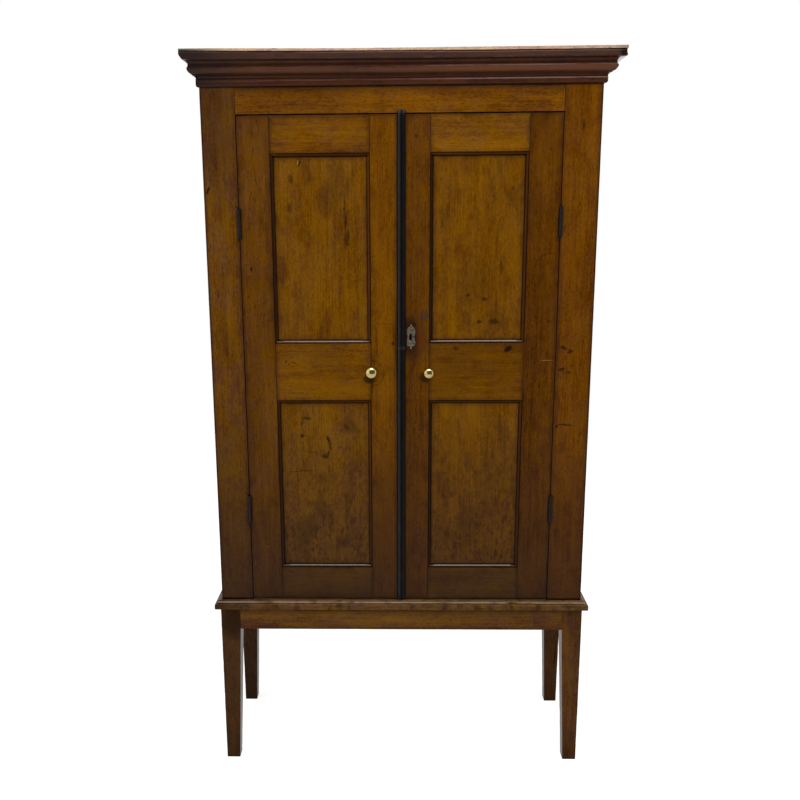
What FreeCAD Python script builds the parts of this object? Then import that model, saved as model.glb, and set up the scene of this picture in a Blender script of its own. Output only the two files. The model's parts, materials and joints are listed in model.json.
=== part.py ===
import FreeCAD, Part
import math
import os

# Kas cupboard: a two-door case with a moulded cornice, standing in the moulded frame of a
# separate four-legged stand. Millimetres, +X to the right, +Y to the back, +Z up.
# Everything is drawn with x = 0 at the middle of the case, y = 0 at the case's front face
# and z = 0 at the floor. When a part is written it is moved so that the origin is the
# bottom centre of the whole cupboard's box.

V = FreeCAD.Vector

# ---- driving dimensions: case ----
CASE_WIDTH = 1066.0
CASE_DEPTH = 399.0
CASE_BOTTOM = 497.0
CORNICE_BOTTOM = 1967.0
CORNICE_TOP = 2045.0
FACE_THICK = 24.0
FACE_STILE_LEFT = 93.0
FACE_STILE_RIGHT = 99.5
OPENING_TOP = 1898.5
SIDE_THICK = 20.0
BOTTOM_THICK = 25.0
TOP_THICK = 20.0
TOP_BOARD_BOTTOM = 1990.0
BACK_THICK = 12.0
BACK_REBATE = 10.0
BACK_BOARDS = 5
BACK_LAP = 6.0
DADO_DEPTH = 8.0
SHELVES = ("shelf_lower", "shelf_middle", "shelf_upper")
SHELF_THICK = 20.0
SHELF_FRONT = 62.0
SHELF_SLACK = 0.5
CLEAT = 20.0

# ---- driving dimensions: cornice (how far it stands out on each side) ----
CORNICE_FRONT = 45.0
CORNICE_LEFT = 41.0
CORNICE_RIGHT = 49.0
# The cornice's top edge and the board's top above it, as (x, z): both have crept up at the left.
CORNICE_RIM = ((-600, 2052.5), (-430, 2049.5), (-250, 2047.5), (0, 2046), (200, CORNICE_TOP),
               (600, CORNICE_TOP))
DUST_BOARD_TOP = ((-600, 2056.5), (-500, 2056.5), (-430, 2056), (-150, 2052.6), (600, 2052.6))

# ---- driving dimensions: stand ----
STAND_PROUD = 5.3
LEG_TOP = 58.0
LEG_FOOT = 40.5
APRON_BOTTOM = 428.6
APRON_THICK = 24.0
APRON_TENON = 30.0
APRON_TENON_THICK = 12.0
APRON_TENON_INSET = 6.0
APRON_TENON_STEP = 10.0
STAND_MOULD_OUT = 20.0
STAND_MOULD_BOTTOM = 495.5
STAND_MOULD_TOP = 523.0
CASE_SLIP = 0.3

# ---- driving dimensions: doors ----
DOOR_THICK = 23.5
DOOR_BOTTOM = 527.0
DOOR_TOP = 1895.5
HINGE_GAP = 1.5
PARTING_X = -7.5
MEETING_GAP = 2.2
MEETING_BEVEL = 1.2
HINGE_STILE = 87.5
LEFT_MEETING_STILE = 73.0
RIGHT_MEETING_STILE = 86.0
BOTTOM_RAIL_TOP = 623.5
LOCK_RAIL_BOTTOM = 1125.5
LOCK_RAIL_TOP = 1287.0
TOP_RAIL_BOTTOM = 1798.5
STICKING = 8.5
STICKING_QUIRK = 1.0
STICKING_DEPTH = 7.0
GROOVE_FRONT = 8.0
PANEL_THICK = 8.0
GROOVE_DEPTH = 8.0
PANEL_SLACK = 1.0
TENON_LENGTH = 45.0
TENON_STEP = 12.0
STOP_BLOCK = 60.0
STOP_PLACES = (-190.0, 130.0)

# ---- driving dimensions: astragal on the right door ----
ASTRAGAL_LEFT = -7.6
ASTRAGAL_WIDTH = 21.0
ASTRAGAL_PROUD = 8.0
ASTRAGAL_BOTTOM = 528.5
ASTRAGAL_TOP = 1904.5

# ---- driving dimensions: ironmongery ----
HINGE_HEIGHTS = (804.0, 1615.0)
HINGE_LENGTH = 78.0
KNUCKLES = 5
KNUCKLE_R = 4.5
KNUCKLE_GAP = 0.15
PIN_R = 2.0
PIN_CLEARANCE = 0.06
PIN_HEAD_R = 3.4
PIN_HEAD = 1.6
AXIS_PROUD = 4.8
LEAF_THICK = 1.8
LEAF_WIDTH = 21.0
HINGE_SCREW_R = 1.7
HINGE_SCREW_HEAD_R = 3.6
HINGE_SCREW_LENGTH = 18.0
HINGE_SCREW_PLACES = ((-29.0, 8.0), (0.0, 14.0), (29.0, 8.0))
SCREW_CLEARANCE = 0.1
SLOT_DEEP = 0.6
SLOT_WIDE = 0.7
LEFT_KNOB = (-81.8, 1206.0, 15.9)
RIGHT_KNOB = (79.0, 1204.0, 14.2)
LOCK_X = 28.2
LOCK_Z = 1304.5
ESCUTCHEON_THICK = 1.2
ESCUTCHEON_OFFSET = 1.2
ESCUTCHEON_TOP = 1341.0
ESCUTCHEON_BOTTOM = 1267.5
KEYHOLE_R = 3.0
KEYHOLE_SLOT = 2.3
KEYHOLE_TOP = 1312.5
KEYHOLE_BOTTOM = 1296.2
LOCK_WIDTH = 56.0
LOCK_HEIGHT = 58.0
LOCK_WALL = 1.5
LOCK_DEPTH = 12.0
LOCK_BOLT_HEIGHT = 12.0
LOCK_BOLT_THICK = 6.0
LOCK_BOLT_LENGTH = 46.0
LOCK_BOLT_Z = 1317.0
LOCK_BOLT_GAP = 1.0
LOCK_CLEARANCE = 0.5
BOLT_X = -45.0
BOLT_R = 4.0
BOLT_LENGTH = 112.0
BOLT_TRAVEL = 18.0
BOLT_SET_BACK = 2.5
BOLT_PLATE = 2.0
BOLT_GUIDE_CLEARANCE = 0.08
BOLT_HOLE_R = 4.6
BOLT_BACK_GAP = 1.0
KEEPER_THICK = 1.5

# ---- places worked out from the dimensions above ----
HALF = CASE_WIDTH / 2
RIM_HIGHEST = max(z for x, z in CORNICE_RIM)
OPEN_LEFT = -HALF + FACE_STILE_LEFT
OPEN_RIGHT = HALF - FACE_STILE_RIGHT
BOARD_TOP = CASE_BOTTOM + BOTTOM_THICK
BACK_FRONT = CASE_DEPTH - BACK_THICK
LEFT_DOOR_X = (OPEN_LEFT + HINGE_GAP, PARTING_X - MEETING_GAP / 2)
RIGHT_DOOR_X = (PARTING_X + MEETING_GAP / 2, OPEN_RIGHT - HINGE_GAP)
STAND_HALF = HALF + STAND_PROUD
BOLT_Y = DOOR_THICK + BOLT_PLATE + BOLT_R + BOLT_BACK_GAP
ORIGIN_SHIFT = V((CORNICE_LEFT - CORNICE_RIGHT) / 2, (CORNICE_FRONT - CASE_DEPTH) / 2, 0)

NODES = {}


# ---- drawing helpers ----
def box(x0, x1, y0, y1, z0, z1):
    return Part.makeBox(x1 - x0, y1 - y0, z1 - z0, V(x0, y0, z0))


def in_xy(a, b):
    return V(a, b, 0)


def in_xz(a, b):
    return V(a, 0, b)


def in_yz(a, b):
    return V(0, a, b)


def face_of(steps, plane):
    """Face inside a closed outline. A step is a point (a, b), or an arc as (through, end)."""
    start = plane(*steps[0])
    here = start
    edges = []
    for step in steps[1:]:
        if isinstance(step[0], tuple):
            through, end = plane(*step[0]), plane(*step[1])
            edges.append(Part.Arc(here, through, end).toShape())
        else:
            end = plane(*step)
            edges.append(Part.makeLine(here, end))
        here = end
    if here.distanceToPoint(start) > 1e-6:
        edges.append(Part.makeLine(here, start))
    return Part.Face(Part.Wire(edges))


def prism_xy(steps, z0, z1):
    return face_of(steps, in_xy).extrude(V(0, 0, z1 - z0)).translated(V(0, 0, z0))


def prism_xz(steps, y0, y1):
    return face_of(steps, in_xz).extrude(V(0, y1 - y0, 0)).translated(V(0, y0, 0))


def prism_yz(steps, x0, x1):
    return face_of(steps, in_yz).extrude(V(x1 - x0, 0, 0)).translated(V(x0, 0, 0))


def rod_z(r, x, y, z0, z1):
    return Part.makeCylinder(r, z1 - z0, V(x, y, z0), V(0, 0, 1))


def joined(first, *others):
    return first.fuse(list(others)).removeSplitter()


def mirrored_x(shape):
    return shape.mirror(V(0, 0, 0), V(1, 0, 0))


def group(solids):
    return Part.makeCompound(solids)


# ---- mouldings: outlines as (out, z), where out is how far it stands from the case ----
def cornice_outline(scale):
    """Neck, ovolo and fillet below, deep cavetto and square fascia above."""
    steps = [
        (0, CORNICE_BOTTOM), (3, CORNICE_BOTTOM), ((6.2, 1968.6), (7.6, 1972.5)), (7.6, 1984),
        ((9, 1989.5), (13, 1992)), (15.5, 1992.5), (15.5, 1994),
        ((23.8, 1999), (27.5, 2006.5)), (27.5, 2009.5), (25.6, 2011), (25, 2014),
        ((26.2, 2022.6), (31, 2026.5)), (42.6, 2026.8), (43.8, 2028.5),
        (45, CORNICE_TOP), (45, RIM_HIGHEST), (0, RIM_HIGHEST),
    ]
    return scaled_out(steps, scale)


def stand_outline(scale):
    """Small bead over a square nose, rebated over the stand's top edge."""
    steps = [
        (CASE_SLIP, STAND_MOULD_TOP), (5, STAND_MOULD_TOP), ((10, 521), (11.5, 515.5)),
        (12.5, 513.5), (17, 513.5), ((19.2, 512.6), (STAND_MOULD_OUT, 510)),
        (STAND_MOULD_OUT, 499), ((19, 496.4), (16.5, STAND_MOULD_BOTTOM)),
        (STAND_PROUD, STAND_MOULD_BOTTOM), (STAND_PROUD, CASE_BOTTOM), (CASE_SLIP, CASE_BOTTOM),
    ]
    return scaled_out(steps, scale)


def scaled_out(steps, scale):
    result = []
    for step in steps:
        if isinstance(step[0], tuple):
            result.append(tuple((a * scale, b) for a, b in step))
        else:
            result.append((step[0] * scale, step[1]))
    return result


def mapped(steps, change):
    result = []
    for step in steps:
        if isinstance(step[0], tuple):
            result.append(tuple(change(*point) for point in step))
        else:
            result.append(change(*step))
    return result


def mitred_moulding(prefix, outline, front_out, left_out, right_out):
    """Front length and two returns. Each corner is cut along the line through both outer edges."""
    reach = 2.0  # times the moulding's width, so that every cutter passes its outer edge
    front_steps = mapped(outline(1.0), lambda out, z: (-out, z))
    front = prism_yz(front_steps, -HALF - reach * left_out, HALF + reach * right_out)
    wedge = [
        (-HALF, 0), (HALF, 0), (HALF + reach * right_out, -reach * front_out),
        (-HALF - reach * left_out, -reach * front_out),
    ]
    z0, z1 = front.BoundBox.ZMin, front.BoundBox.ZMax
    NODES[prefix + "_front"] = front.common(prism_xy(wedge, z0, z1))
    for name, side, out in (("_left", -1, left_out), ("_right", 1, right_out)):
        steps = mapped(outline(out / front_out), lambda a, z: (side * (HALF + a), z))
        length = prism_xz(steps, -reach * front_out, CASE_DEPTH)
        behind = [
            (side * HALF, 0), (side * (HALF + reach * out), -reach * front_out),
            (side * (HALF + reach * out), CASE_DEPTH), (side * HALF, CASE_DEPTH),
        ]
        NODES[prefix + name] = length.common(prism_xy(behind, z0, z1))


# ---- stand ----
def leg(front):
    """Left-hand leg: square at the apron, tapered on its two inner faces below it."""
    outer = -STAND_HALF
    across = [
        (outer, 0), (outer + LEG_FOOT, 0), (outer + LEG_TOP, APRON_BOTTOM),
        (outer + LEG_TOP, CASE_BOTTOM), (outer, CASE_BOTTOM),
    ]
    edge, inward = (-STAND_PROUD, 1) if front else (CASE_DEPTH, -1)
    along = [
        (edge, 0), (edge + inward * LEG_FOOT, 0), (edge + inward * LEG_TOP, APRON_BOTTOM),
        (edge + inward * LEG_TOP, CASE_BOTTOM), (edge, CASE_BOTTOM),
    ]
    depth_span = prism_xz(across, -STAND_PROUD, CASE_DEPTH)
    return depth_span.common(prism_yz(along, outer, outer + LEG_TOP))


def apron_pieces():
    """The four aprons with their tenons, and the tenons alone for cutting the mortises."""
    x = STAND_HALF - LEG_TOP
    front_y, back_y = -STAND_PROUD, CASE_DEPTH
    inner_front, inner_back = front_y + LEG_TOP, back_y - LEG_TOP
    z0, z1 = APRON_BOTTOM, CASE_BOTTOM
    t0, t1 = z0 + APRON_TENON_STEP, z1 - APRON_TENON_STEP
    thick0, thick1 = APRON_TENON_INSET, APRON_TENON_INSET + APRON_TENON_THICK
    aprons = {}
    tenons = []
    for name, outer, inward in (("apron_front", front_y, 1), ("apron_back", back_y, -1)):
        ys = sorted((outer, outer + inward * APRON_THICK))
        ty = sorted((outer + inward * thick0, outer + inward * thick1))
        tenon = box(-x - APRON_TENON, x + APRON_TENON, ty[0], ty[1], t0, t1)
        aprons[name] = joined(box(-x, x, ys[0], ys[1], z0, z1), tenon)
        tenons.append(tenon)
    for name, side in (("apron_left", -1), ("apron_right", 1)):
        xs = sorted((side * STAND_HALF, side * (STAND_HALF - APRON_THICK)))
        tx = sorted((side * (STAND_HALF - thick0), side * (STAND_HALF - thick1)))
        y0, y1 = inner_front - APRON_TENON, inner_back + APRON_TENON
        tenon = box(tx[0], tx[1], y0, y1, t0, t1)
        aprons[name] = joined(box(xs[0], xs[1], inner_front, inner_back, z0, z1), tenon)
        tenons.append(tenon)
    return aprons, tenons


def build_stand():
    aprons, tenons = apron_pieces()
    for name, front in (("leg_front", True), ("leg_back", False)):
        left = leg(front)
        NODES[name + "_left"] = left.cut(tenons)
        NODES[name + "_right"] = mirrored_x(left).cut(tenons)
    NODES.update(aprons)
    mitred_moulding("stand_moulding", stand_outline,
                    STAND_MOULD_OUT, STAND_MOULD_OUT, STAND_MOULD_OUT)


# ---- case ----
def hinge_recess(edge_x, toward):
    """Shallow mortises for the leaves, cut from edge_x towards the wood."""
    xs = sorted((edge_x, edge_x + toward * LEAF_THICK))
    half = HINGE_LENGTH / 2
    return [box(xs[0], xs[1], 0, LEAF_WIDTH, z - half, z + half) for z in HINGE_HEIGHTS]


def build_face_frame():
    rail = box(OPEN_LEFT, OPEN_RIGHT, 0, FACE_THICK, OPENING_TOP, CORNICE_TOP)
    tenon = box(OPEN_LEFT - TENON_LENGTH, OPEN_RIGHT + TENON_LENGTH, GROOVE_FRONT,
                GROOVE_FRONT + PANEL_THICK, OPENING_TOP + TENON_STEP, CORNICE_TOP - TENON_STEP)
    left = box(-HALF, OPEN_LEFT, 0, FACE_THICK, CASE_BOTTOM, CORNICE_TOP)
    right = box(OPEN_RIGHT, HALF, 0, FACE_THICK, CASE_BOTTOM, CORNICE_TOP)
    NODES["face_stile_left"] = left.cut([tenon] + hinge_recess(OPEN_LEFT, -1))
    NODES["face_stile_right"] = right.cut([tenon] + hinge_recess(OPEN_RIGHT, 1))
    NODES["face_top_rail"] = joined(rail, tenon)


def shelf_levels():
    room = TOP_BOARD_BOTTOM - BOARD_TOP - len(SHELVES) * SHELF_THICK
    pitch = room / (len(SHELVES) + 1) + SHELF_THICK
    return [BOARD_TOP + pitch * (i + 1) - SHELF_THICK for i in range(len(SHELVES))]


def build_boards():
    inner = HALF - SIDE_THICK
    dado = inner + DADO_DEPTH
    plan = [
        (OPEN_LEFT, 0), (OPEN_RIGHT, 0), (OPEN_RIGHT, FACE_THICK), (dado, FACE_THICK),
        (dado, BACK_FRONT), (-dado, BACK_FRONT), (-dado, FACE_THICK), (OPEN_LEFT, FACE_THICK),
    ]
    bottom = prism_xy(plan, CASE_BOTTOM, BOARD_TOP)
    hole = rod_z(BOLT_HOLE_R, BOLT_X, BOLT_Y, BOARD_TOP - BOLT_TRAVEL, BOARD_TOP)
    NODES["bottom_board"] = bottom.cut([hole, lower_keeper_blank()])
    top = box(-dado, dado, FACE_THICK, BACK_FRONT,
              TOP_BOARD_BOTTOM, TOP_BOARD_BOTTOM + TOP_THICK)
    NODES["top_board"] = top
    rebate = inner + BACK_REBATE
    for name, side in (("side_left", -1), ("side_right", 1)):
        xs = sorted((side * inner, side * HALF))
        board = box(xs[0], xs[1], FACE_THICK, CASE_DEPTH, CASE_BOTTOM, CORNICE_TOP)
        back = box(-rebate, rebate, BACK_FRONT, CASE_DEPTH, CASE_BOTTOM, CORNICE_TOP)
        NODES[name] = board.cut([bottom, top, back])
    build_back(rebate)


def build_back(reach):
    """Upright boards, half-lapped at their long edges."""
    width = 2 * reach / BACK_BOARDS
    lap_y = BACK_FRONT + BACK_THICK / 2
    boards = []
    for i in range(BACK_BOARDS):
        x0, x1 = -reach + i * width, -reach + (i + 1) * width
        lap0 = x0 if i == 0 else x0 + BACK_LAP
        lap1 = x1 if i == BACK_BOARDS - 1 else x1 + BACK_LAP
        plan = [(x0, BACK_FRONT), (x1, BACK_FRONT), (x1, lap_y), (lap1, lap_y),
                (lap1, CASE_DEPTH), (lap0, CASE_DEPTH), (lap0, lap_y), (x0, lap_y)]
        corners = [p for j, p in enumerate(plan) if p != plan[j - 1]]
        boards.append(prism_xy(corners, CASE_BOTTOM, CORNICE_TOP))
    NODES["back_boards"] = group(boards)


def build_cornice():
    """The moulding is trimmed along its rim, and the dust board is let down over it."""
    mitred_moulding("cornice", cornice_outline, CORNICE_FRONT, CORNICE_LEFT, CORNICE_RIGHT)
    clear = 1.0
    above = [*CORNICE_RIM, (CORNICE_RIM[-1][0], RIM_HIGHEST + clear),
             (CORNICE_RIM[0][0], RIM_HIGHEST + clear)]
    trimmer = prism_xz(above, -CORNICE_FRONT - clear, CASE_DEPTH + clear)
    pieces = ["cornice_front", "cornice_left", "cornice_right"]
    for name in pieces:
        NODES[name] = NODES[name].cut(trimmer)
    board = prism_xz([(DUST_BOARD_TOP[0][0], CORNICE_TOP), *DUST_BOARD_TOP,
                      (DUST_BOARD_TOP[-1][0], CORNICE_TOP)], -CORNICE_FRONT, CASE_DEPTH)
    highest = max(z for x, z in DUST_BOARD_TOP)
    cover = box(-HALF - CORNICE_LEFT, HALF + CORNICE_RIGHT, -CORNICE_FRONT, CASE_DEPTH,
                CORNICE_TOP, highest)
    NODES["dust_board"] = board.common(cover).cut([NODES[name] for name in pieces])


def build_shelves():
    inner = HALF - SIDE_THICK
    cleats = []
    for name, z in zip(SHELVES, shelf_levels()):
        NODES[name] = box(-inner + SHELF_SLACK, inner - SHELF_SLACK, SHELF_FRONT, BACK_FRONT,
                          z, z + SHELF_THICK)
        for side in (-1, 1):
            xs = sorted((side * inner, side * (inner - CLEAT)))
            cleats.append(box(xs[0], xs[1], SHELF_FRONT, BACK_FRONT, z - CLEAT, z))
    NODES["shelf_cleats"] = group(cleats)


def build_door_stops():
    """A block over and under each door, which its back meets when it is shut."""
    depth, hang, rise = 16.0, 12.0, 40.0
    stops = []
    for x in STOP_PLACES:
        for z0, z1 in ((OPENING_TOP - hang, OPENING_TOP + rise), (BOARD_TOP, DOOR_BOTTOM + hang)):
            stops.append(box(x, x + STOP_BLOCK, FACE_THICK, FACE_THICK + depth, z0, z1))
    NODES["door_stops"] = group(stops)


# ---- doors ----
def sticking_cutter(x0, x1, z0, z1):
    """What the moulding plane takes off round one panel opening, mitred at its corners."""
    clear = 2.0
    bulge = math.sqrt(0.5)

    def section(a0, a1):
        fall = STICKING_DEPTH - STICKING_QUIRK
        along, down = STICKING * bulge, STICKING_DEPTH - fall * bulge
        return [
            (a0, -clear), (a0, STICKING_QUIRK), ((a0 + along, down), (a0 + STICKING, STICKING_DEPTH)),
            (a1 - STICKING, STICKING_DEPTH), ((a1 - along, down), (a1, STICKING_QUIRK)), (a1, -clear),
        ]

    upright = prism_xy(section(x0, x1), z0, z1)
    level = prism_yz(mapped(section(z0, z1), lambda z, y: (y, z)), x0, x1)
    return upright.common(level)


def groove(x0, x1, z0, z1, slack=0.0):
    """The panel's place in the frame, or the panel itself when slack is given."""
    out = GROOVE_DEPTH - STICKING - slack
    return box(x0 - out, x1 + out, GROOVE_FRONT, GROOVE_FRONT + PANEL_THICK, z0 - out, z1 + out)


def stile_outline(x_edge, x_joint, openings):
    """Stile in front view. Beside each opening it carries the moulding, mitred at both ends."""
    inward = STICKING if x_joint > x_edge else -STICKING
    steps = [(x_edge, DOOR_BOTTOM), (x_joint, DOOR_BOTTOM)]
    for z0, z1 in openings:
        steps += [(x_joint, z0), (x_joint + inward, z0 + STICKING),
                  (x_joint + inward, z1 - STICKING), (x_joint, z1)]
    return steps + [(x_joint, DOOR_TOP), (x_edge, DOOR_TOP)]


def rail_outline(x0, x1, z0, z1, below, above):
    """Rail in front view, with the mitred moulding on each edge that meets a panel."""
    steps = [(x0, z0)]
    if below:
        steps += [(x0 + STICKING, z0 - STICKING), (x1 - STICKING, z0 - STICKING)]
    steps += [(x1, z0), (x1, z1)]
    if above:
        steps += [(x1 - STICKING, z1 + STICKING), (x0 + STICKING, z1 + STICKING)]
    return steps + [(x0, z1)]


def frame_and_panels(side, x_edges, x_joints, stile_names):
    """One door's two stiles, three rails and two panels, jointed with blind tenons."""
    openings = ((BOTTOM_RAIL_TOP, LOCK_RAIL_BOTTOM), (LOCK_RAIL_TOP, TOP_RAIL_BOTTOM))
    xa, xb = x_joints
    cutters = [sticking_cutter(xa, xb, z0, z1) for z0, z1 in openings]
    cutters += [groove(xa, xb, z0, z1) for z0, z1 in openings]
    rails = (
        ("_bottom_rail", DOOR_BOTTOM, BOTTOM_RAIL_TOP, False, True),
        ("_lock_rail", LOCK_RAIL_BOTTOM, LOCK_RAIL_TOP, True, True),
        ("_top_rail", TOP_RAIL_BOTTOM, DOOR_TOP, True, False),
    )
    tenons = []
    for name, z0, z1, below, above in rails:
        tenon = box(xa - TENON_LENGTH, xb + TENON_LENGTH, GROOVE_FRONT,
                    GROOVE_FRONT + PANEL_THICK, z0 + TENON_STEP, z1 - TENON_STEP)
        rail = prism_xz(rail_outline(xa, xb, z0, z1, below, above), 0, DOOR_THICK)
        NODES[side + name] = joined(rail.cut(cutters), tenon)
        tenons.append(tenon)
    for name, x_edge, x_joint in zip(stile_names, x_edges, x_joints):
        stile = prism_xz(stile_outline(x_edge, x_joint, openings), 0, DOOR_THICK)
        NODES[side + name] = stile.cut(cutters + tenons)
    for name, (z0, z1) in zip(("_lower_panel", "_upper_panel"), openings):
        NODES[side + name] = groove(xa, xb, z0, z1, PANEL_SLACK)


def meeting_bevel(x_edge, inward):
    """Wedge planed off a meeting edge so that its back corner clears the other door."""
    return prism_xy([(x_edge, 0), (x_edge + inward * MEETING_BEVEL, DOOR_THICK),
                     (x_edge - inward, DOOR_THICK), (x_edge - inward, 0)], DOOR_BOTTOM, DOOR_TOP)


def build_doors():
    left0, left1 = LEFT_DOOR_X
    frame_and_panels("left", LEFT_DOOR_X, (left0 + HINGE_STILE, left1 - LEFT_MEETING_STILE),
                     ("_hinge_stile", "_meeting_stile"))
    right0, right1 = RIGHT_DOOR_X
    frame_and_panels("right", RIGHT_DOOR_X, (right0 + RIGHT_MEETING_STILE, right1 - HINGE_STILE),
                     ("_meeting_stile", "_hinge_stile"))
    NODES["left_hinge_stile"] = NODES["left_hinge_stile"].cut(hinge_recess(left0, 1))
    NODES["right_hinge_stile"] = NODES["right_hinge_stile"].cut(hinge_recess(right1, -1))
    NODES["left_meeting_stile"] = NODES["left_meeting_stile"].cut(
        [meeting_bevel(left1, -1), lock_bolt_socket()])
    NODES["right_meeting_stile"] = NODES["right_meeting_stile"].cut(
        [meeting_bevel(right0, 1), lock_recess(), lock_bolt_slot(), keyhole(-1, DOOR_THICK)])


def build_astragal():
    """Two beads with a groove between, planted on the right door over the meeting gap."""
    x0, x1 = ASTRAGAL_LEFT, ASTRAGAL_LEFT + ASTRAGAL_WIDTH
    middle = (x0 + x1) / 2
    bead_edge, groove_half, groove_y = -2.5, 1.2, -4.0
    crown = ASTRAGAL_WIDTH / 4
    steps = [
        (x0, 0), (x0, bead_edge),
        ((x0 + crown, -ASTRAGAL_PROUD), (middle - groove_half, groove_y)),
        (middle + groove_half, groove_y),
        ((x1 - crown, -ASTRAGAL_PROUD), (x1, bead_edge)), (x1, 0),
    ]
    NODES["astragal"] = prism_xy(steps, ASTRAGAL_BOTTOM, ASTRAGAL_TOP)


# ---- hinges ----
def hinge_axes():
    return {"left": (OPEN_LEFT + HINGE_GAP / 2, 1), "right": (OPEN_RIGHT - HINGE_GAP / 2, -1)}


def leaf(axis_x, toward, z_middle, knuckle_ids):
    """One leaf: plate let into the wood's edge, tabs and knuckles in front of the face."""
    plate_in = axis_x + toward * HINGE_GAP / 2
    xs = sorted((plate_in, plate_in + toward * LEAF_THICK))
    z0 = z_middle - HINGE_LENGTH / 2
    pitch = HINGE_LENGTH / KNUCKLES
    pieces = []
    for i in knuckle_ids:
        low, high = z0 + i * pitch + KNUCKLE_GAP, z0 + (i + 1) * pitch - KNUCKLE_GAP
        pieces.append(rod_z(KNUCKLE_R, axis_x, -AXIS_PROUD, low, high))
        pieces.append(box(xs[0], xs[1], -AXIS_PROUD, 0, low, high))
    plate = box(xs[0], xs[1], 0, LEAF_WIDTH, z0, z0 + HINGE_LENGTH)
    bore = rod_z(PIN_R + PIN_CLEARANCE, axis_x, -AXIS_PROUD, z0 - 1, z0 + HINGE_LENGTH + 1)
    holes = hinge_screws(axis_x, toward, z_middle, SCREW_CLEARANCE)
    return joined(plate, *pieces).cut([bore] + holes)


def hinge_screws(axis_x, toward, z_middle, clearance=0.0):
    """Three countersunk screws of one leaf, or their holes when clearance is given."""
    face_x = axis_x + toward * HINGE_GAP / 2
    direction = V(toward, 0, 0)
    screws = []
    for dz, y in HINGE_SCREW_PLACES:
        at = V(face_x, y, z_middle + dz)
        head = Part.makeCone(HINGE_SCREW_HEAD_R + clearance, HINGE_SCREW_R + clearance,
                             LEAF_THICK, at, direction)
        shank = Part.makeCylinder(HINGE_SCREW_R + clearance, HINGE_SCREW_LENGTH, at, direction)
        screw = joined(head, shank)
        if not clearance:
            slot = box(face_x - SLOT_DEEP, face_x + SLOT_DEEP, y - HINGE_SCREW_HEAD_R,
                       y + HINGE_SCREW_HEAD_R, at.z - SLOT_WIDE / 2, at.z + SLOT_WIDE / 2)
            screw = screw.cut(slot)
        screws.append(screw)
    return screws


def build_hinges():
    fixed_leaves, pins, fixed_screws = [], [], []
    for side, (axis_x, into_door) in hinge_axes().items():
        door_leaves, door_screws = [], []
        for z in HINGE_HEIGHTS:
            fixed_leaves.append(leaf(axis_x, -into_door, z, (0, 2, 4)))
            door_leaves.append(leaf(axis_x, into_door, z, (1, 3)))
            fixed_screws += hinge_screws(axis_x, -into_door, z)
            door_screws += hinge_screws(axis_x, into_door, z)
            low, high = z - HINGE_LENGTH / 2 + KNUCKLE_GAP, z + HINGE_LENGTH / 2 - KNUCKLE_GAP
            pins.append(joined(rod_z(PIN_R, axis_x, -AXIS_PROUD, low, high),
                               rod_z(PIN_HEAD_R, axis_x, -AXIS_PROUD, low - PIN_HEAD, low),
                               rod_z(PIN_HEAD_R, axis_x, -AXIS_PROUD, high, high + PIN_HEAD)))
        NODES[side + "_hinge_leaves"] = group(door_leaves)
        NODES[side + "_hinge_screws"] = group(door_screws)
    NODES["case_hinge_leaves"] = group(fixed_leaves)
    NODES["case_hinge_screws"] = group(fixed_screws)
    NODES["hinge_pins"] = group(pins)


# ---- knobs, lock and bolts ----
def build_knob(node, x, z, r):
    """Turned knob: rose, neck and flattened ball, with a wood screw behind it.

    The ball's rounded rim and its domed front are two arcs that meet smoothly.
    """
    screw_r, screw_length, crown_r = 2.4, 20.0, 1.0
    rim_r, rim_y, turn = 0.44 * r, -17.5, math.radians(55)
    rim_x = r - rim_r
    dome_edge = (rim_x + rim_r * math.cos(turn), rim_y - rim_r * math.sin(turn))
    dome_r = dome_edge[0] / math.cos(turn)
    dome_centre = dome_edge[1] + dome_r * math.sin(turn)

    def on_dome(across):
        return across, dome_centre - math.sqrt(dome_r ** 2 - across ** 2)

    crown = on_dome(crown_r)
    half = [
        (0, screw_length), (screw_r, screw_length), (screw_r, 0), (0.62 * r, 0), (0.62 * r, -1.5),
        ((0.46 * r, -3.2), (0.36 * r, -6)), ((0.40 * r, -9), (rim_x, rim_y + rim_r)),
        ((r, rim_y), dome_edge), (on_dome(dome_edge[0] / 2), crown), (0, crown[1]),
    ]
    turned = face_of(half, in_xy).revolve(V(0, 0, 0), V(0, 1, 0), 360)
    NODES[node] = turned.translated(V(x, 0, z))


def keyhole(y0, y1):
    """Round top and square-sided slot, cut from y0 to y1."""
    centre_z = KEYHOLE_TOP - KEYHOLE_R
    round_top = Part.makeCylinder(KEYHOLE_R, y1 - y0, V(LOCK_X, y0, centre_z), V(0, 1, 0))
    slot = box(LOCK_X - KEYHOLE_SLOT, LOCK_X + KEYHOLE_SLOT, y0, y1, KEYHOLE_BOTTOM, centre_z)
    return joined(round_top, slot)


def build_escutcheon():
    """Lobed plate with a pointed finial at each end, drawn as its right half and mirrored."""
    top, bottom = ESCUTCHEON_TOP, ESCUTCHEON_BOTTOM
    half = [
        (0, top), (2.2, top - 4.5), ((2.6, top - 7), (4.2, top - 8.5)),
        ((7.5, top - 9.5), (8.5, top - 13)), ((12.2, top - 15.5), (13, top - 21)),
        ((13.2, top - 26), (10.2, top - 29.5)), ((8.6, top - 36), (9.6, top - 43)),
        ((10.5, top - 46), (13.3, top - 48.5)), ((13.4, top - 55), (10, top - 58)),
        ((8.2, top - 61.5), (4.6, top - 62.5)), ((2.8, top - 64.5), (2.4, bottom + 5)), (0, bottom),
    ]
    right = prism_xz(half, -ESCUTCHEON_THICK, 0)
    plate = joined(right, mirrored_x(right)).translated(V(LOCK_X + ESCUTCHEON_OFFSET, 0, 0))
    NODES["escutcheon"] = plate.cut(keyhole(-ESCUTCHEON_THICK - 1, 1))


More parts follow.
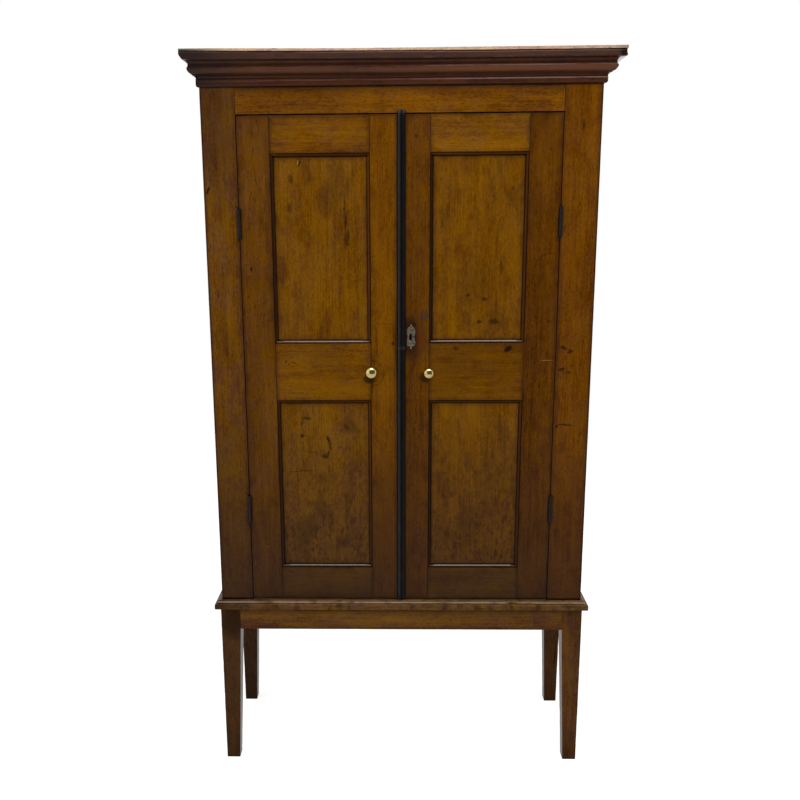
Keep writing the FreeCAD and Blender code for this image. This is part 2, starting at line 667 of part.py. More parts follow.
def lock_box():
    """Outer box of the lock, let into the back of the right meeting stile."""
    x0 = LOCK_X - LOCK_WIDTH / 2
    z0 = LOCK_Z - LOCK_HEIGHT / 2
    return x0, x0 + LOCK_WIDTH, DOOR_THICK - LOCK_DEPTH, DOOR_THICK, z0, z0 + LOCK_HEIGHT


def lock_recess():
    return box(*lock_box())


def lock_bolt_y():
    return DOOR_THICK - LOCK_DEPTH + LOCK_WALL + LOCK_BOLT_GAP


def lock_bolt_slot():
    """Way for the bolt from the lock to the meeting edge."""
    y0 = lock_bolt_y() - LOCK_CLEARANCE
    half = LOCK_BOLT_HEIGHT / 2 + LOCK_CLEARANCE
    return box(RIGHT_DOOR_X[0] - 1, LOCK_X, y0, y0 + LOCK_BOLT_THICK + 2 * LOCK_CLEARANCE,
               LOCK_BOLT_Z - half, LOCK_BOLT_Z + half)


def lock_bolt_socket():
    """Mortise in the left door's meeting edge, where the shot bolt goes."""
    depth = 9.0
    y0 = lock_bolt_y() - LOCK_CLEARANCE
    half = LOCK_BOLT_HEIGHT / 2 + LOCK_CLEARANCE
    return box(LEFT_DOOR_X[1] - depth, LEFT_DOOR_X[1] + 1, y0,
               y0 + LOCK_BOLT_THICK + 2 * LOCK_CLEARANCE, LOCK_BOLT_Z - half, LOCK_BOLT_Z + half)


def build_lock():
    """Case, cap and bolt. The key turns in a half-round notch, the talon, under the bolt."""
    x0, x1, y0, y1, z0, z1 = lock_box()
    cap_front = y1 - LOCK_WALL
    shell = box(x0, x1, y0, cap_front, z0, z1)
    room = box(x0 + LOCK_WALL, x1 - LOCK_WALL, y0 + LOCK_WALL, cap_front, z0 + LOCK_WALL,
               z1 - LOCK_WALL)
    NODES["lock_case"] = shell.cut([room, lock_bolt_slot(), keyhole(y0 - 1, y0 + LOCK_WALL + 1)])
    NODES["lock_cap"] = box(x0, x1, cap_front, y1, z0, z1)
    bolt_x0 = RIGHT_DOOR_X[0] + MEETING_BEVEL
    half = LOCK_BOLT_HEIGHT / 2
    talon_r, talon_x = 3.5, LOCK_X + 4.0
    bar = box(bolt_x0, bolt_x0 + LOCK_BOLT_LENGTH, lock_bolt_y(), lock_bolt_y() + LOCK_BOLT_THICK,
              LOCK_BOLT_Z - half, LOCK_BOLT_Z + half)
    talon = Part.makeCylinder(talon_r, DOOR_THICK, V(talon_x, 0, LOCK_BOLT_Z - half), V(0, 1, 0))
    NODES["lock_bolt"] = bar.cut(talon)


def slide_bolt(low, high, pull_z):
    """Round bar with a small pull turned towards the inside of the case."""
    stem_r, stem_length, ball_r, ball_out = 2.2, 11.0, 5.0, 14.0
    stem = Part.makeCylinder(stem_r, stem_length, V(BOLT_X, BOLT_Y, pull_z), V(0, 1, 0))
    ball = Part.makeSphere(ball_r, V(BOLT_X, BOLT_Y + ball_out, pull_z))
    return joined(rod_z(BOLT_R, BOLT_X, BOLT_Y, low, high), stem, ball)


def guide_plate(low, high):
    """Back plate with a guide block near each end."""
    plate_half, block_half, block, inset, wall = 15.0, 8.0, 14.0, 2.0, 2.0
    back = BOLT_Y + BOLT_R + wall
    plate = box(BOLT_X - plate_half, BOLT_X + plate_half, DOOR_THICK, DOOR_THICK + BOLT_PLATE,
                low, high)
    bore = rod_z(BOLT_R + BOLT_GUIDE_CLEARANCE, BOLT_X, BOLT_Y, low - 1, high + 1)
    blocks = [box(BOLT_X - block_half, BOLT_X + block_half, DOOR_THICK, back, z, z + block)
              for z in (low + inset, high - inset - block)]
    return joined(plate, *blocks).cut(bore)


def lower_keeper_blank():
    """Flat keeper let into the bottom board, before its hole is bored."""
    half, ahead, behind = 14.0, 7.0, 12.0
    return box(BOLT_X - half, BOLT_X + half, BOLT_Y - ahead, BOLT_Y + behind,
               BOARD_TOP - KEEPER_THICK, BOARD_TOP)


def upper_keeper():
    """Staple block on the back of the face's top rail."""
    half, wall, height = 11.0, 3.0, 12.0
    z0 = OPENING_TOP + KEEPER_THICK
    staple = box(BOLT_X - half, BOLT_X + half, FACE_THICK, BOLT_Y + BOLT_R + wall, z0, z0 + height)
    return staple.cut(rod_z(BOLT_HOLE_R, BOLT_X, BOLT_Y, z0 - 1, z0 + height + 1))


def build_bolts():
    plate_length, edge = 100.0, 4.0
    top_end, bottom_end = DOOR_TOP - BOLT_SET_BACK, DOOR_BOTTOM + BOLT_SET_BACK
    plates = (
        (DOOR_TOP - edge - plate_length, DOOR_TOP - edge),
        (DOOR_BOTTOM + edge, DOOR_BOTTOM + edge + plate_length),
    )
    NODES["bolt_guides"] = group([guide_plate(low, high) for low, high in plates])
    pull_up = DOOR_TOP - edge - plate_length / 2 - BOLT_TRAVEL / 2
    pull_down = DOOR_BOTTOM + edge + plate_length / 2 + BOLT_TRAVEL / 2
    NODES["upper_bolt"] = slide_bolt(top_end - BOLT_LENGTH, top_end, pull_up)
    NODES["lower_bolt"] = slide_bolt(bottom_end, bottom_end + BOLT_LENGTH, pull_down)
    hole = rod_z(BOLT_HOLE_R, BOLT_X, BOLT_Y, BOARD_TOP - 2 * KEEPER_THICK, BOARD_TOP + 1)
    NODES["bolt_keepers"] = group([upper_keeper(), lower_keeper_blank().cut(hole)])


# ---- build and write ----
def main():
    build_stand()
    build_face_frame()
    build_boards()
    build_shelves()
    build_door_stops()
    build_cornice()
    build_doors()
    build_astragal()
    build_hinges()
    build_knob("left_knob", *LEFT_KNOB)
    build_knob("right_knob", *RIGHT_KNOB)
    build_escutcheon()
    build_lock()
    build_bolts()
    os.makedirs("parts", exist_ok=True)
    for node, shape in NODES.items():
        shape.translated(ORIGIN_SHIFT).exportStep("parts/" + node + ".step")


main()
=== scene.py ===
import json
import math

import bmesh
import bpy
from mathutils import Matrix, Vector, noise

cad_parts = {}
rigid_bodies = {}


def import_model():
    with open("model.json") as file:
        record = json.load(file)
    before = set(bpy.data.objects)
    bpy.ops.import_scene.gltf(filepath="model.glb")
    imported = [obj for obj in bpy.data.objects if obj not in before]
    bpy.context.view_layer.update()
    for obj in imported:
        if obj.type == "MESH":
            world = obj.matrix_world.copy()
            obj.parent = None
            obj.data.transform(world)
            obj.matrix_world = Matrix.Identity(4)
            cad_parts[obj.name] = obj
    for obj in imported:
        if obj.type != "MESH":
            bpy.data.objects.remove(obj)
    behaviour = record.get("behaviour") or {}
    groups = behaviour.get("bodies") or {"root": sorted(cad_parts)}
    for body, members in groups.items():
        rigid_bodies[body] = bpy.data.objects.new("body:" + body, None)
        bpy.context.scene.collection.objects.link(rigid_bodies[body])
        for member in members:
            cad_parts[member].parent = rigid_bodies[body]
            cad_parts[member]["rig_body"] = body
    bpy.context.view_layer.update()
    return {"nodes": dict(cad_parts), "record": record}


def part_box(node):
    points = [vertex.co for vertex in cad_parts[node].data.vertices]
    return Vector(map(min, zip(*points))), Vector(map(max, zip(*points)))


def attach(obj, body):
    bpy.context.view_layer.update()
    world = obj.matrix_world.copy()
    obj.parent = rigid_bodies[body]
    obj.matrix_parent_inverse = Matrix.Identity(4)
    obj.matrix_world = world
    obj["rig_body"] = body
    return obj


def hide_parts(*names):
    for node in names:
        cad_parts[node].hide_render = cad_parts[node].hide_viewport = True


# Kas cupboard: an old oiled and waxed case with two panelled doors, on its own stand.
# Metres, +X to the right, +Y to the back, +Z up, origin on the floor under the middle.
# Patterns, marks, wear and turned outlines take their sizes in millimetres.

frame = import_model()

MM = 0.001
SLOTS = {part["node"]: part["material_slot"] for part in frame["record"]["subparts"]}
FACE_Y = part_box("face_top_rail")[0].y
DOOR_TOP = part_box("left_top_rail")[1].z
TENON = 0.045


# ---- colours and nodes ----
def linear(code):
    """The linear colour of an sRGB hex code."""
    shares = [int(code[i:i + 2], 16) / 255 for i in (1, 3, 5)]
    return [c / 12.92 if c <= 0.04045 else ((c + 0.055) / 1.055) ** 2.4 for c in shares] + [1.0]


def add(tree, kind, inputs=None, **settings):
    """Adds a node. Its inputs are plain values or other nodes' outputs."""
    node = tree.nodes.new(kind)
    for name, value in settings.items():
        setattr(node, name, value)
    for name, value in (inputs or {}).items():
        if isinstance(value, bpy.types.NodeSocket):
            tree.links.new(value, node.inputs[name])
        else:
            node.inputs[name].default_value = value
    return node


def blank_material(name):
    material = bpy.data.materials.new(name)
    material.use_nodes = True
    material.node_tree.nodes.clear()
    return material, material.node_tree


def maths(tree, operation, *values):
    """The result of a Math node."""
    return add(tree, "ShaderNodeMath", dict(enumerate(values)), operation=operation).outputs[0]


def times(tree, value, factor):
    return maths(tree, "MULTIPLY", value, factor)


def vectors(tree, operation, *values):
    """The result of a Vector Math node: a number for a length or a dot product, or else a vector."""
    outputs = add(tree, "ShaderNodeVectorMath", dict(enumerate(values)), operation=operation).outputs
    return outputs["Value" if operation in ("LENGTH", "DOT_PRODUCT") else "Vector"]


def coordinate(tree, vector, axis):
    return add(tree, "ShaderNodeSeparateXYZ", {"Vector": vector}).outputs[axis]


def remap(tree, value, start, end, low=0.0, high=1.0, kind="LINEAR"):
    """Carries start to low and end to high, and holds there on both sides."""
    return add(tree, "ShaderNodeMapRange", {
        "Value": value, "From Min": start, "From Max": end, "To Min": low, "To Max": high},
        interpolation_type=kind).outputs[0]


def over(tree, colour, top, mask, blend="MIX"):
    """A colour laid over another through a mask."""
    if isinstance(top, str):
        top = linear(top)
    return add(tree, "ShaderNodeMix", {
        0: mask, 6: colour, 7: top}, data_type="RGBA", blend_type=blend).outputs[2]


# ---- patterns: each one returns an output between 0 and 1 ----
def streaks(tree, place, across, length, detail, low=0.3, high=0.7, kind="LINEAR"):
    """Noise drawn out along the local Z. Across and length are the sizes of one streak."""
    sized = add(tree, "ShaderNodeMapping", {
        "Vector": place, "Scale": (1 / (across * MM), 1 / (across * MM), 1 / (length * MM))})
    field = add(tree, "ShaderNodeTexNoise", {
        "Vector": sized.outputs[0], "Scale": 1.0, "Detail": detail, "Roughness": 0.6})
    return remap(tree, field.outputs["Fac"], low, high, kind=kind)


def rings(tree, place, width, tilt, wander):
    """Growth rings a width apart, cut at a small tilt to the board."""
    tilted = add(tree, "ShaderNodeMapping", {
        "Vector": place, "Location": (0.09, 0.05, 0), "Rotation": (tilt, tilt * 0.6, 0)})
    wave = add(tree, "ShaderNodeTexWave", {
        "Vector": tilted.outputs[0], "Scale": 1 / (width * MM) / 20, "Distortion": wander,
        "Detail": 2.0, "Detail Scale": 0.6}, wave_type="RINGS", rings_direction="Z")
    return wave.outputs["Fac"]


def dots(tree, place, cell, radius, kept, squash=0.5):
    """Small specks a cell apart, of which a share is kept. Squash draws them out along Z."""
    longer = add(tree, "ShaderNodeMapping", {"Vector": place, "Scale": (1, 1, squash)})
    field = add(tree, "ShaderNodeTexVoronoi", {"Vector": longer.outputs[0], "Scale": 1 / (cell * MM)})
    near = remap(tree, field.outputs["Distance"], 1.5 * radius / cell, 0.7 * radius / cell)
    chosen = maths(tree, "LESS_THAN", coordinate(tree, field.outputs["Color"], "X"), kept)
    return times(tree, near, chosen)


def ragged(tree, coords, size, reach):
    """Coordinates shaken by noise, so that a mark drawn on them has an uneven edge."""
    field = add(tree, "ShaderNodeTexNoise", {"Vector": coords, "Scale": 1 / (size * MM), "Detail": 3.0})
    centred = vectors(tree, "SUBTRACT", field.outputs["Color"], (0.5, 0.5, 0.5))
    scaled = add(tree, "ShaderNodeVectorMath", {0: centred, "Scale": 2 * reach * MM}, operation="SCALE")
    return vectors(tree, "ADD", coords, scaled.outputs[0])


def spots(tree, coords, places, softness):
    """One mask of ellipses: middle x, z, half width, half height, turn in degrees, strength."""
    mask = None
    for x, z, half_x, half_z, turn, strength in places:
        local = add(tree, "ShaderNodeMapping", {
            "Vector": coords, "Location": (x * MM, 0, z * MM), "Rotation": (0, math.radians(turn), 0),
            "Scale": (half_x * MM, 10, half_z * MM)}, vector_type="TEXTURE")
        away = vectors(tree, "LENGTH", local.outputs[0])
        spot = remap(tree, away, 1 + softness, 1 - softness, 0.0, strength, "SMOOTHSTEP")
        mask = spot if mask is None else maths(tree, "MAXIMUM", mask, spot)
    return mask


# ---- masks: each function returned takes the tree and its coordinates ----
def beyond(axis, start, end):
    """0 before start and 1 after end along an axis, in metres."""
    return lambda tree, coords: remap(tree, coordinate(tree, coords, axis), start, end)


def facing(axis, start, end, strength=1.0):
    """Grows as the surface's normal turns along an axis from start to end."""
    def mask(tree, coords):
        normal = add(tree, "ShaderNodeTexCoord").outputs["Normal"]
        return remap(tree, coordinate(tree, normal, axis), start, end, 0.0, strength)
    return mask


def together(*masks, strength=1.0):
    """Shows only where all of the masks do."""
    def mask(tree, coords):
        total = strength
        for other in masks:
            total = times(tree, other(tree, coords), total)
        return total
    return mask


def either(*masks):
    """Shows where one of two masks does."""
    return lambda tree, coords: maths(tree, "MAXIMUM", *(mask(tree, coords) for mask in masks))


def band(axis, start, end, soft, strength):
    """A stripe between two places along an axis, in metres, with soft edges."""
    return together(beyond(axis, start - soft, start + soft), beyond(axis, end + soft, end - soft),
                    strength=strength)


def recessed(start, end, strength):
    """Wherever the surface lies behind the door's face, as on its moulding."""
    return together(beyond("Y", FACE_Y + start * MM, FACE_Y + end * MM), strength=strength)


def lower_down(start, end, strength):
    """Darker towards the floor."""
    return together(beyond("Z", start, end), strength=strength)


def uneven_end(start, end, size, reach, strength=1.0):
    """Past a place along X, with an uneven edge."""
    straight = together(beyond("X", start, end), strength=strength)
    return lambda tree, coords: straight(tree, ragged(tree, coords, size, reach))


def patchy(size, low, high):
    """Breaks up a line or a layer here and there."""
    return lambda tree, coords: streaks(tree, coords, size, size, 3.0, low, high)


def cloudy(seed, size, low, high, strength):
    """Broad patches of older, darker polish."""
    def mask(tree, coords):
        moved = add(tree, "ShaderNodeMapping", {"Vector": coords, "Location": (seed, seed, seed)})
        patches = streaks(tree, moved.outputs[0], size, size * 1.8, 7.0, low, high, "SMOOTHSTEP")
        return times(tree, patches, strength)
    return mask


def stains(places, size=9, reach=2.5, softness=0.5):
    return lambda tree, coords: spots(tree, ragged(tree, coords, size, reach), places, softness)


def grime_and_shade_rim(lo, hi, width, strength):
    """Darkening round the border of a board seen from the front: grime, and on the panels painted shade too.
    """
    centre = (lo + hi) / 2
    half = (hi - lo) / 2

    def mask(tree, coords):
        shaken = ragged(tree, coords, 22, width * 0.4)
        away = vectors(tree, "ABSOLUTE", vectors(tree, "SUBTRACT", shaken, (centre.x, 0, centre.z)))
        sides = [remap(tree, coordinate(tree, away, axis), extent - width * MM, extent, kind="SMOOTHSTEP")
                 for axis, extent in (("X", half.x), ("Z", half.z))]
        return times(tree, maths(tree, "MAXIMUM", *sides), strength)
    return mask


def shoulders(lo, hi, width=1.3):
    """The dark open joint at both ends of a rail, whose tenons reach on into the stiles."""
    middle, half = (lo.x + hi.x) / 2, (hi.x - lo.x) / 2 - TENON

    def mask(tree, coords):
        local = vectors(tree, "SUBTRACT", ragged(tree, coords, 9, 0.5), (middle, 0, 0))
        away = vectors(tree, "ABSOLUTE", local)
        return times(tree, beyond("X", half - width * MM, half - width * MM / 3)(tree, away), 0.92)
    return mask


def ring_mark(x, z, radius, width, strength):
    """A faint ring, left where something round has stood on the wood or turned against it."""
    def mask(tree, coords):
        away = vectors(tree, "SUBTRACT", ragged(tree, coords, 14, 1.6), (x * MM, 0, z * MM))
        out = vectors(tree, "LENGTH", vectors(tree, "MULTIPLY", away, (1, 0, 1)))
        off = maths(tree, "ABSOLUTE", maths(tree, "SUBTRACT", out, radius * MM))
        return remap(tree, off, width * MM, 0.0, 0.0, strength)
    return mask


def shaded_side(strength):
    """Painted shade on the recessed mouldings that face right, away from the light."""
    return together(facing("X", 0.1, 0.4), recessed(0.5, 1.5, 1.0), strength=strength)


# ---- masks of polish that is thick enough to shine ----
# Faces turned sideways have been handled less and keep their gloss.
OUTWARD_SIDES = either(facing("X", 0.7, 0.95, 0.7), facing("X", -0.7, -0.95, 0.7))
# The recessed mouldings that face up, and the doors' top edges, take the polish.
TOP_LIT = together(facing("Z", 0.15, 0.5, 0.6), either(
    recessed(0.5, 1.5, 1.0), beyond("Z", DOOR_TOP - 0.003, DOOR_TOP - 0.002)))
# Narrow ledges of the cornice, right of the middle, still hold their polish.
LEDGES = together(facing("Z", 0.2, 0.6), beyond("X", -0.05, 0.25), beyond("X", 0.52, 0.47),
                  beyond("Z", 2.032, 2.028))
# The underside, which dusting never reaches, keeps all its gloss.
SOFFIT = facing("Z", -0.3, -0.7)


# ---- wood ----
GRAIN_TURNS = {"z": (0, 0, 0), "x": (0, -math.pi / 2, 0), "y": (math.pi / 2, 0, 0)}
# Shares of a tone's red, green and blue in its darkest and lightest grain.
DARK_SHARE = (0.50, 0.40, 0.80, 1)
LIGHT_SHARE = (1.34, 1.44, 0.95, 1)
# Colours that multiply the grain under them.
OLD_POLISH = (0.60, 0.50, 1.40, 1)
RUBBED = (1.20, 1.26, 0.40, 1)
AMBER = (1.05, 1.01, 0.08, 1)
PORE = "#1c0e05"
CREVICE = "#0b0503"
DIRT_AND_SHADE = "#1b0f08"
GRIME_AND_SHADE = "#2b1812"
BACK_TONE = "#644a2e"
SCRATCHED = "#8a7448"
# Painted shade below the knobs, down to the stand: darker, partly for the light falling off towards the
# floor and partly for duller polish.
SHADE_AND_DULLING_BELOW = ("#201a1c", lower_down(1.16, 0.50, 0.64))


def bare_side(axis, start, end, grain):
    """Layers for the unfinished inner or back surface: dry wood, darker grain and paler dusty patches."""
    surface = beyond(axis, start, end)

    def pattern(across, length, low, high):
        def mask(tree, coords):
            turned = add(tree, "ShaderNodeMapping", {"Vector": coords, "Rotation": GRAIN_TURNS[grain]})
            return streaks(tree, turned.outputs[0], across, length, 4.0, low, high)
        return mask
    return [(BACK_TONE, together(surface, strength=0.88)),
            ("#2c1d12", together(pattern(4, 130, 0.40, 0.72), surface, strength=0.75)),
            ("#8f7150", together(pattern(45, 260, 0.46, 0.72), surface, strength=0.30)),
            ("#22160d", together(pattern(90, 200, 0.50, 0.74), surface, strength=0.45))]


def wood(name, tone, grain, seed, layers=(), contrast=1.0, figure=0.16, curl=0.12, flecks=0.7,
         patina=0.55, roughness=(0.36, 0.48), gloss=0.12, sheen="#ffc47c", polished=None,
         amber=0.8, clouds=1.0):
    """Old solid wood about a tone, with its grain along an axis.

    A layer is (colour, function that makes its mask), laid over the bare grain in turn.
    The finest fibres are drawn 3 to 4 mm wide, since truer ones of 0.3 mm would not show.
    """
    material, tree = blank_material(name)
    coords = add(tree, "ShaderNodeTexCoord").outputs["Object"]
    shift = (seed * 0.731 % 3, seed * 0.437 % 3, seed * 1.193 % 3)
    place = add(tree, "ShaderNodeMapping", {
        "Vector": coords, "Location": shift, "Rotation": GRAIN_TURNS[grain]}).outputs[0]
    broad = streaks(tree, place, 75, 240, 3.0)
    fibres = streaks(tree, place, 3.4, 110, 3.0)
    parts = ((broad, 0.30), (streaks(tree, place, 10, 420, 3.0), 0.24), (fibres, 0.36),
             (streaks(tree, place, 3.2, 8, 2.0), 0.46), (streaks(tree, place, 14, 24, 4.0), curl),
             (rings(tree, place, 16, 0.05 + 0.03 * (seed % 3), 5.0), figure))
    total = 0.5 - contrast * sum(share for _, share in parts) / 2
    for output, share in parts:
        total = maths(tree, "MULTIPLY_ADD", output, share * contrast, total)
    tones = add(tree, "ShaderNodeValToRGB", {"Fac": total})
    elements = tones.color_ramp.elements
    elements.new(0.5)
    for element, position, shares in zip(elements, (0.05, 0.5, 0.95),
                                         (DARK_SHARE, (1, 1, 1, 1), LIGHT_SHARE)):
        element.position = position
        element.color = [c * share for c, share in zip(linear(tone), shares)]
    colour = tones.outputs["Color"]
    # Where hands have rubbed it the finish is thin and golden; elsewhere it is thick and red-brown.
    for across, length, detail, low, high, top, strength in (
            (46, 130, 4.0, 0.50, 0.72, RUBBED, patina), (34, 70, 5.0, 0.42, 0.60, AMBER, amber),
            (26, 52, 6.0, 0.48, 0.66, OLD_POLISH, patina)):
        patch = streaks(tree, place, across * clouds, length * clouds, detail, low, high, "SMOOTHSTEP")
        colour = over(tree, colour, top, times(tree, patch, strength), "MULTIPLY")
    # Open pores filled with old polish, in patches, and specks of ink and fly dirt.
    pores = times(tree, streaks(tree, place, 3.0, 22, 2.0, 0.58, 0.70),
                  streaks(tree, place, 40, 100, 2.0, 0.40, 0.60))
    for specks in (pores, dots(tree, place, 30, 1.5, 0.4), dots(tree, place, 17, 1.3, 0.22, 0.22)):
        colour = over(tree, colour, PORE, times(tree, specks, flecks))
    for top, mask in layers:
        colour = over(tree, colour, top, mask(tree, coords))
    # Painted shade from ambient occlusion: joints, quirks and recess corners are darkened, partly standing
    # for dirt that no cloth reaches.
    occlusion_shade = add(tree, "ShaderNodeAmbientOcclusion", {"Distance": 5 * MM}, samples=8)
    colour = over(tree, colour, CREVICE, remap(tree, occlusion_shade.outputs["AO"], 0.90, 0.50, 0.0, 0.95))
    height = maths(tree, "MULTIPLY_ADD", pores, -0.8, fibres)
    bump = add(tree, "ShaderNodeBump", {"Height": height, "Strength": 0.3, "Distance": 0.15 * MM})
    shader = add(tree, "ShaderNodeBsdfPrincipled", {
        "Base Color": colour, "Roughness": remap(tree, broad, 0.0, 1.0, *roughness),
        "Normal": bump.outputs["Normal"], "Specular IOR Level": gloss, "Specular Tint": linear(sheen),
        "Coat Roughness": 0.2, "Coat IOR": 1.8,
        "Coat Weight": polished(tree, coords) if polished else 0.0})
    add(tree, "ShaderNodeOutputMaterial", {"Surface": shader.outputs["BSDF"]})
    return material


# ---- metals ----
def metal(name, tones, patches, roughness, metallic=1.0, size=6.0, layers=(), gloss=0.5):
    """Tones of clean and stained metal, patched by noise."""
    material, tree = blank_material(name)
    coords = add(tree, "ShaderNodeTexCoord").outputs["Object"]
    patch = streaks(tree, coords, size, size, 4.0, patches[0], patches[1], "SMOOTHSTEP")
    colour = over(tree, linear(tones[0]), tones[1], patch)
    for top, mask in layers:
        colour = over(tree, colour, top, mask(tree, coords))
    bump = add(tree, "ShaderNodeBump", {"Height": patch, "Strength": 0.3, "Distance": 0.1 * MM})
    shader = add(tree, "ShaderNodeBsdfPrincipled", {
        "Base Color": colour, "Metallic": metallic, "Roughness": remap(tree, patch, 0.0, 1.0, *roughness),
        "Specular IOR Level": gloss, "Normal": bump.outputs["Normal"]})
    add(tree, "ShaderNodeOutputMaterial", {"Surface": shader.outputs["BSDF"]})
    return material


# ---- mesh work ----
def cad_copy(node, whose=None):
    """The node's own mesh, its loose triangles merged and its flat faces made whole.

    Where a node's solids touch, whose tells them apart by a point just inside a face, and each is
    merged on its own.
    """
    bm = bmesh.new()
    bm.from_mesh(frame["nodes"][node].data)
    bm.normal_update()
    solids = {}
    for face in bm.faces:
        inside = face.calc_center_median() - face.normal * MM
        # A dict keeps the vertices in order, so that each run merges them alike.
        solids.setdefault(whose(inside) if whose else 0, {}).update(dict.fromkeys(face.verts))
    for _, verts in sorted(solids.items()):
        bmesh.ops.remove_doubles(bm, verts=list(verts), dist=0.005 * MM)
    bmesh.ops.dissolve_limit(bm, angle_limit=math.radians(0.4), verts=bm.verts, edges=bm.edges)
    return bm


def ease_edges(bm, width):
    """Rounds the long outer edges, as a plane stroke and long handling do."""
    sharp = [e for e in bm.edges if e.is_manifold and e.is_convex
             and e.calc_face_angle(0) > math.radians(40) and e.calc_length() > 5 * width * MM]
    bmesh.ops.bevel(bm, geom=sharp, offset=width * MM, offset_type="OFFSET", segments=2,
                    profile=0.6, affect="EDGES", clamp_overlap=True)


def slice_up(bm, steps):
    """Cuts the mesh on planes a step apart along each axis, so that it can be worn."""
    low = [min(v.co[a] for v in bm.verts) for a in range(3)]
    high = [max(v.co[a] for v in bm.verts) for a in range(3)]
    for axis, step in enumerate(steps):
        count = int((high[axis] - low[axis]) / (step * MM)) if step else 0
        for i in range(1, count + 1):
            point, normal = Vector(), Vector()
            point[axis] = low[axis] + (high[axis] - low[axis]) * i / (count + 1)
            normal[axis] = 1
            geometry = bm.verts[:] + bm.edges[:] + bm.faces[:]
            bmesh.ops.bisect_plane(bm, geom=geometry, dist=1e-7, plane_co=point, plane_no=normal)


def wear(bm, seed, hollow, loss):
    """Sinks the faces a little in broad waves, and nibbles the edges. The depths are always inward."""
    broad_wave, grit, sharp = 8.5, 1000 / 14, 0.26
    bm.normal_update()
    shift = Vector((seed * 3.17, seed * 1.73, seed * 2.39))
    moves = []
    for v in bm.verts:
        depth = hollow * (0.5 + 0.5 * noise.noise(v.co * broad_wave + shift))
        if any(e.calc_face_angle(0) > sharp for e in v.link_edges):
            depth += loss * max(0.0, noise.noise(v.co * grit + shift * 2) - 0.05)
        moves.append(v.normal * (-depth * MM))
    for v, move in zip(bm.verts, moves):
        v.co += move


def put(name, data):
    """A new object in the scene."""
    piece = bpy.data.objects.new(name, data)
    bpy.context.scene.collection.objects.link(piece)
    return piece


def to_piece(bm, prefix, node, material, smooth_angle=22):
    """Turns the mesh into the finished piece that stands for a node and rides on its body."""
    mesh = bpy.data.meshes.new(prefix + node)
    bm.to_mesh(mesh)
    bm.free()
    mesh.materials.append(material)
    mesh.shade_smooth()
    mesh.set_sharp_from_angle(angle=math.radians(smooth_angle))
    piece = put(prefix + node, mesh)
    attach(piece, frame["nodes"][node]["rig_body"])
    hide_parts(node)


def board(node, material, seed, eased=0.8, steps=(24, 0, 24), hollow=0.25, loss=0.5, bend=None,
          whose=None):
    """A worn copy of a wooden node. Bend moves each point, as drying and knocks have."""
    bm = cad_copy(node, whose)
    ease_edges(bm, eased)
    slice_up(bm, steps)
    if bend:
        for v in bm.verts:
            v.co = bend(v.co)
    wear(bm, seed, hollow, loss)
    lo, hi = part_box(node)
    for v in bm.verts:
        v.co = [min(max(c, low), high) for c, low, high in zip(v.co, lo, hi)]
    to_piece(bm, "finished_", node, material)


# ---- marks: middle x, z, half width, half height, turn in degrees, strength ----
FACE_MARKS = {
    "face_stile_left": ((-525, 1704, 3.2, 11, 20, 1.0),),
    "face_stile_right": ((451, 1272, 8, 5, 30, 0.8), (470, 1262, 9, 4, -25, 0.8),
                         (462, 1268, 15, 2, 12, 0.7), (447, 1212, 9, 4, -10, 0.8),
                         (466, 1203, 7, 3, 20, 0.7), (464, 1053, 22, 2.2, 6, 0.8),
                         (439, 1049, 4, 5, 0, 0.9), (480, 1308, 14, 1.2, -40, 0.4),
                         (480, 1861, 5, 20, 0, 0.35)),
}
PANEL_MARKS = {
    "left_upper_panel": ((-276.5, 1774, 3, 8, 10, 0.9), (-156, 1661, 2, 26, 2, 0.8),
                         (-153.5, 1616, 3, 22, 4, 0.8), (-151, 1572, 7, 24, 8, 0.65),
                         (-301, 1733, 7, 10, 0, 0.5), (-306, 1654, 7, 12, 0, 0.45)),
    "left_lower_panel": ((-271, 1072, 13, 4, 12, 0.7), (-285, 1060, 4, 10, 24, 0.5),
                         (-285, 1020, 6, 5, 0, 0.75), (-211, 1010, 5, 9, -10, 0.85),
                         (-206, 990, 2.2, 12, -4, 0.8), (-221, 959, 10, 6, 10, 0.8),
                         (-212, 968, 4, 8, 20, 0.7), (-286, 916, 40, 1.6, -3, 0.75),
                         (-160, 1046, 9, 6, 30, 0.5), (-176, 1036, 6, 3, -20, 0.4),
                         (-180, 986, 6, 3, -15, 0.45), (-252, 972, 26, 1.2, 4, 0.4)),
    "right_upper_panel": ((183, 1419, 5, 5, 0, 0.75), (228, 1408, 6, 5, 0, 0.75),
                          (215, 1345, 6, 5, 0, 0.8), (257, 1346, 13, 7, 0, 0.65),
                          (273, 1491, 5, 16, 0, 0.5)),
}
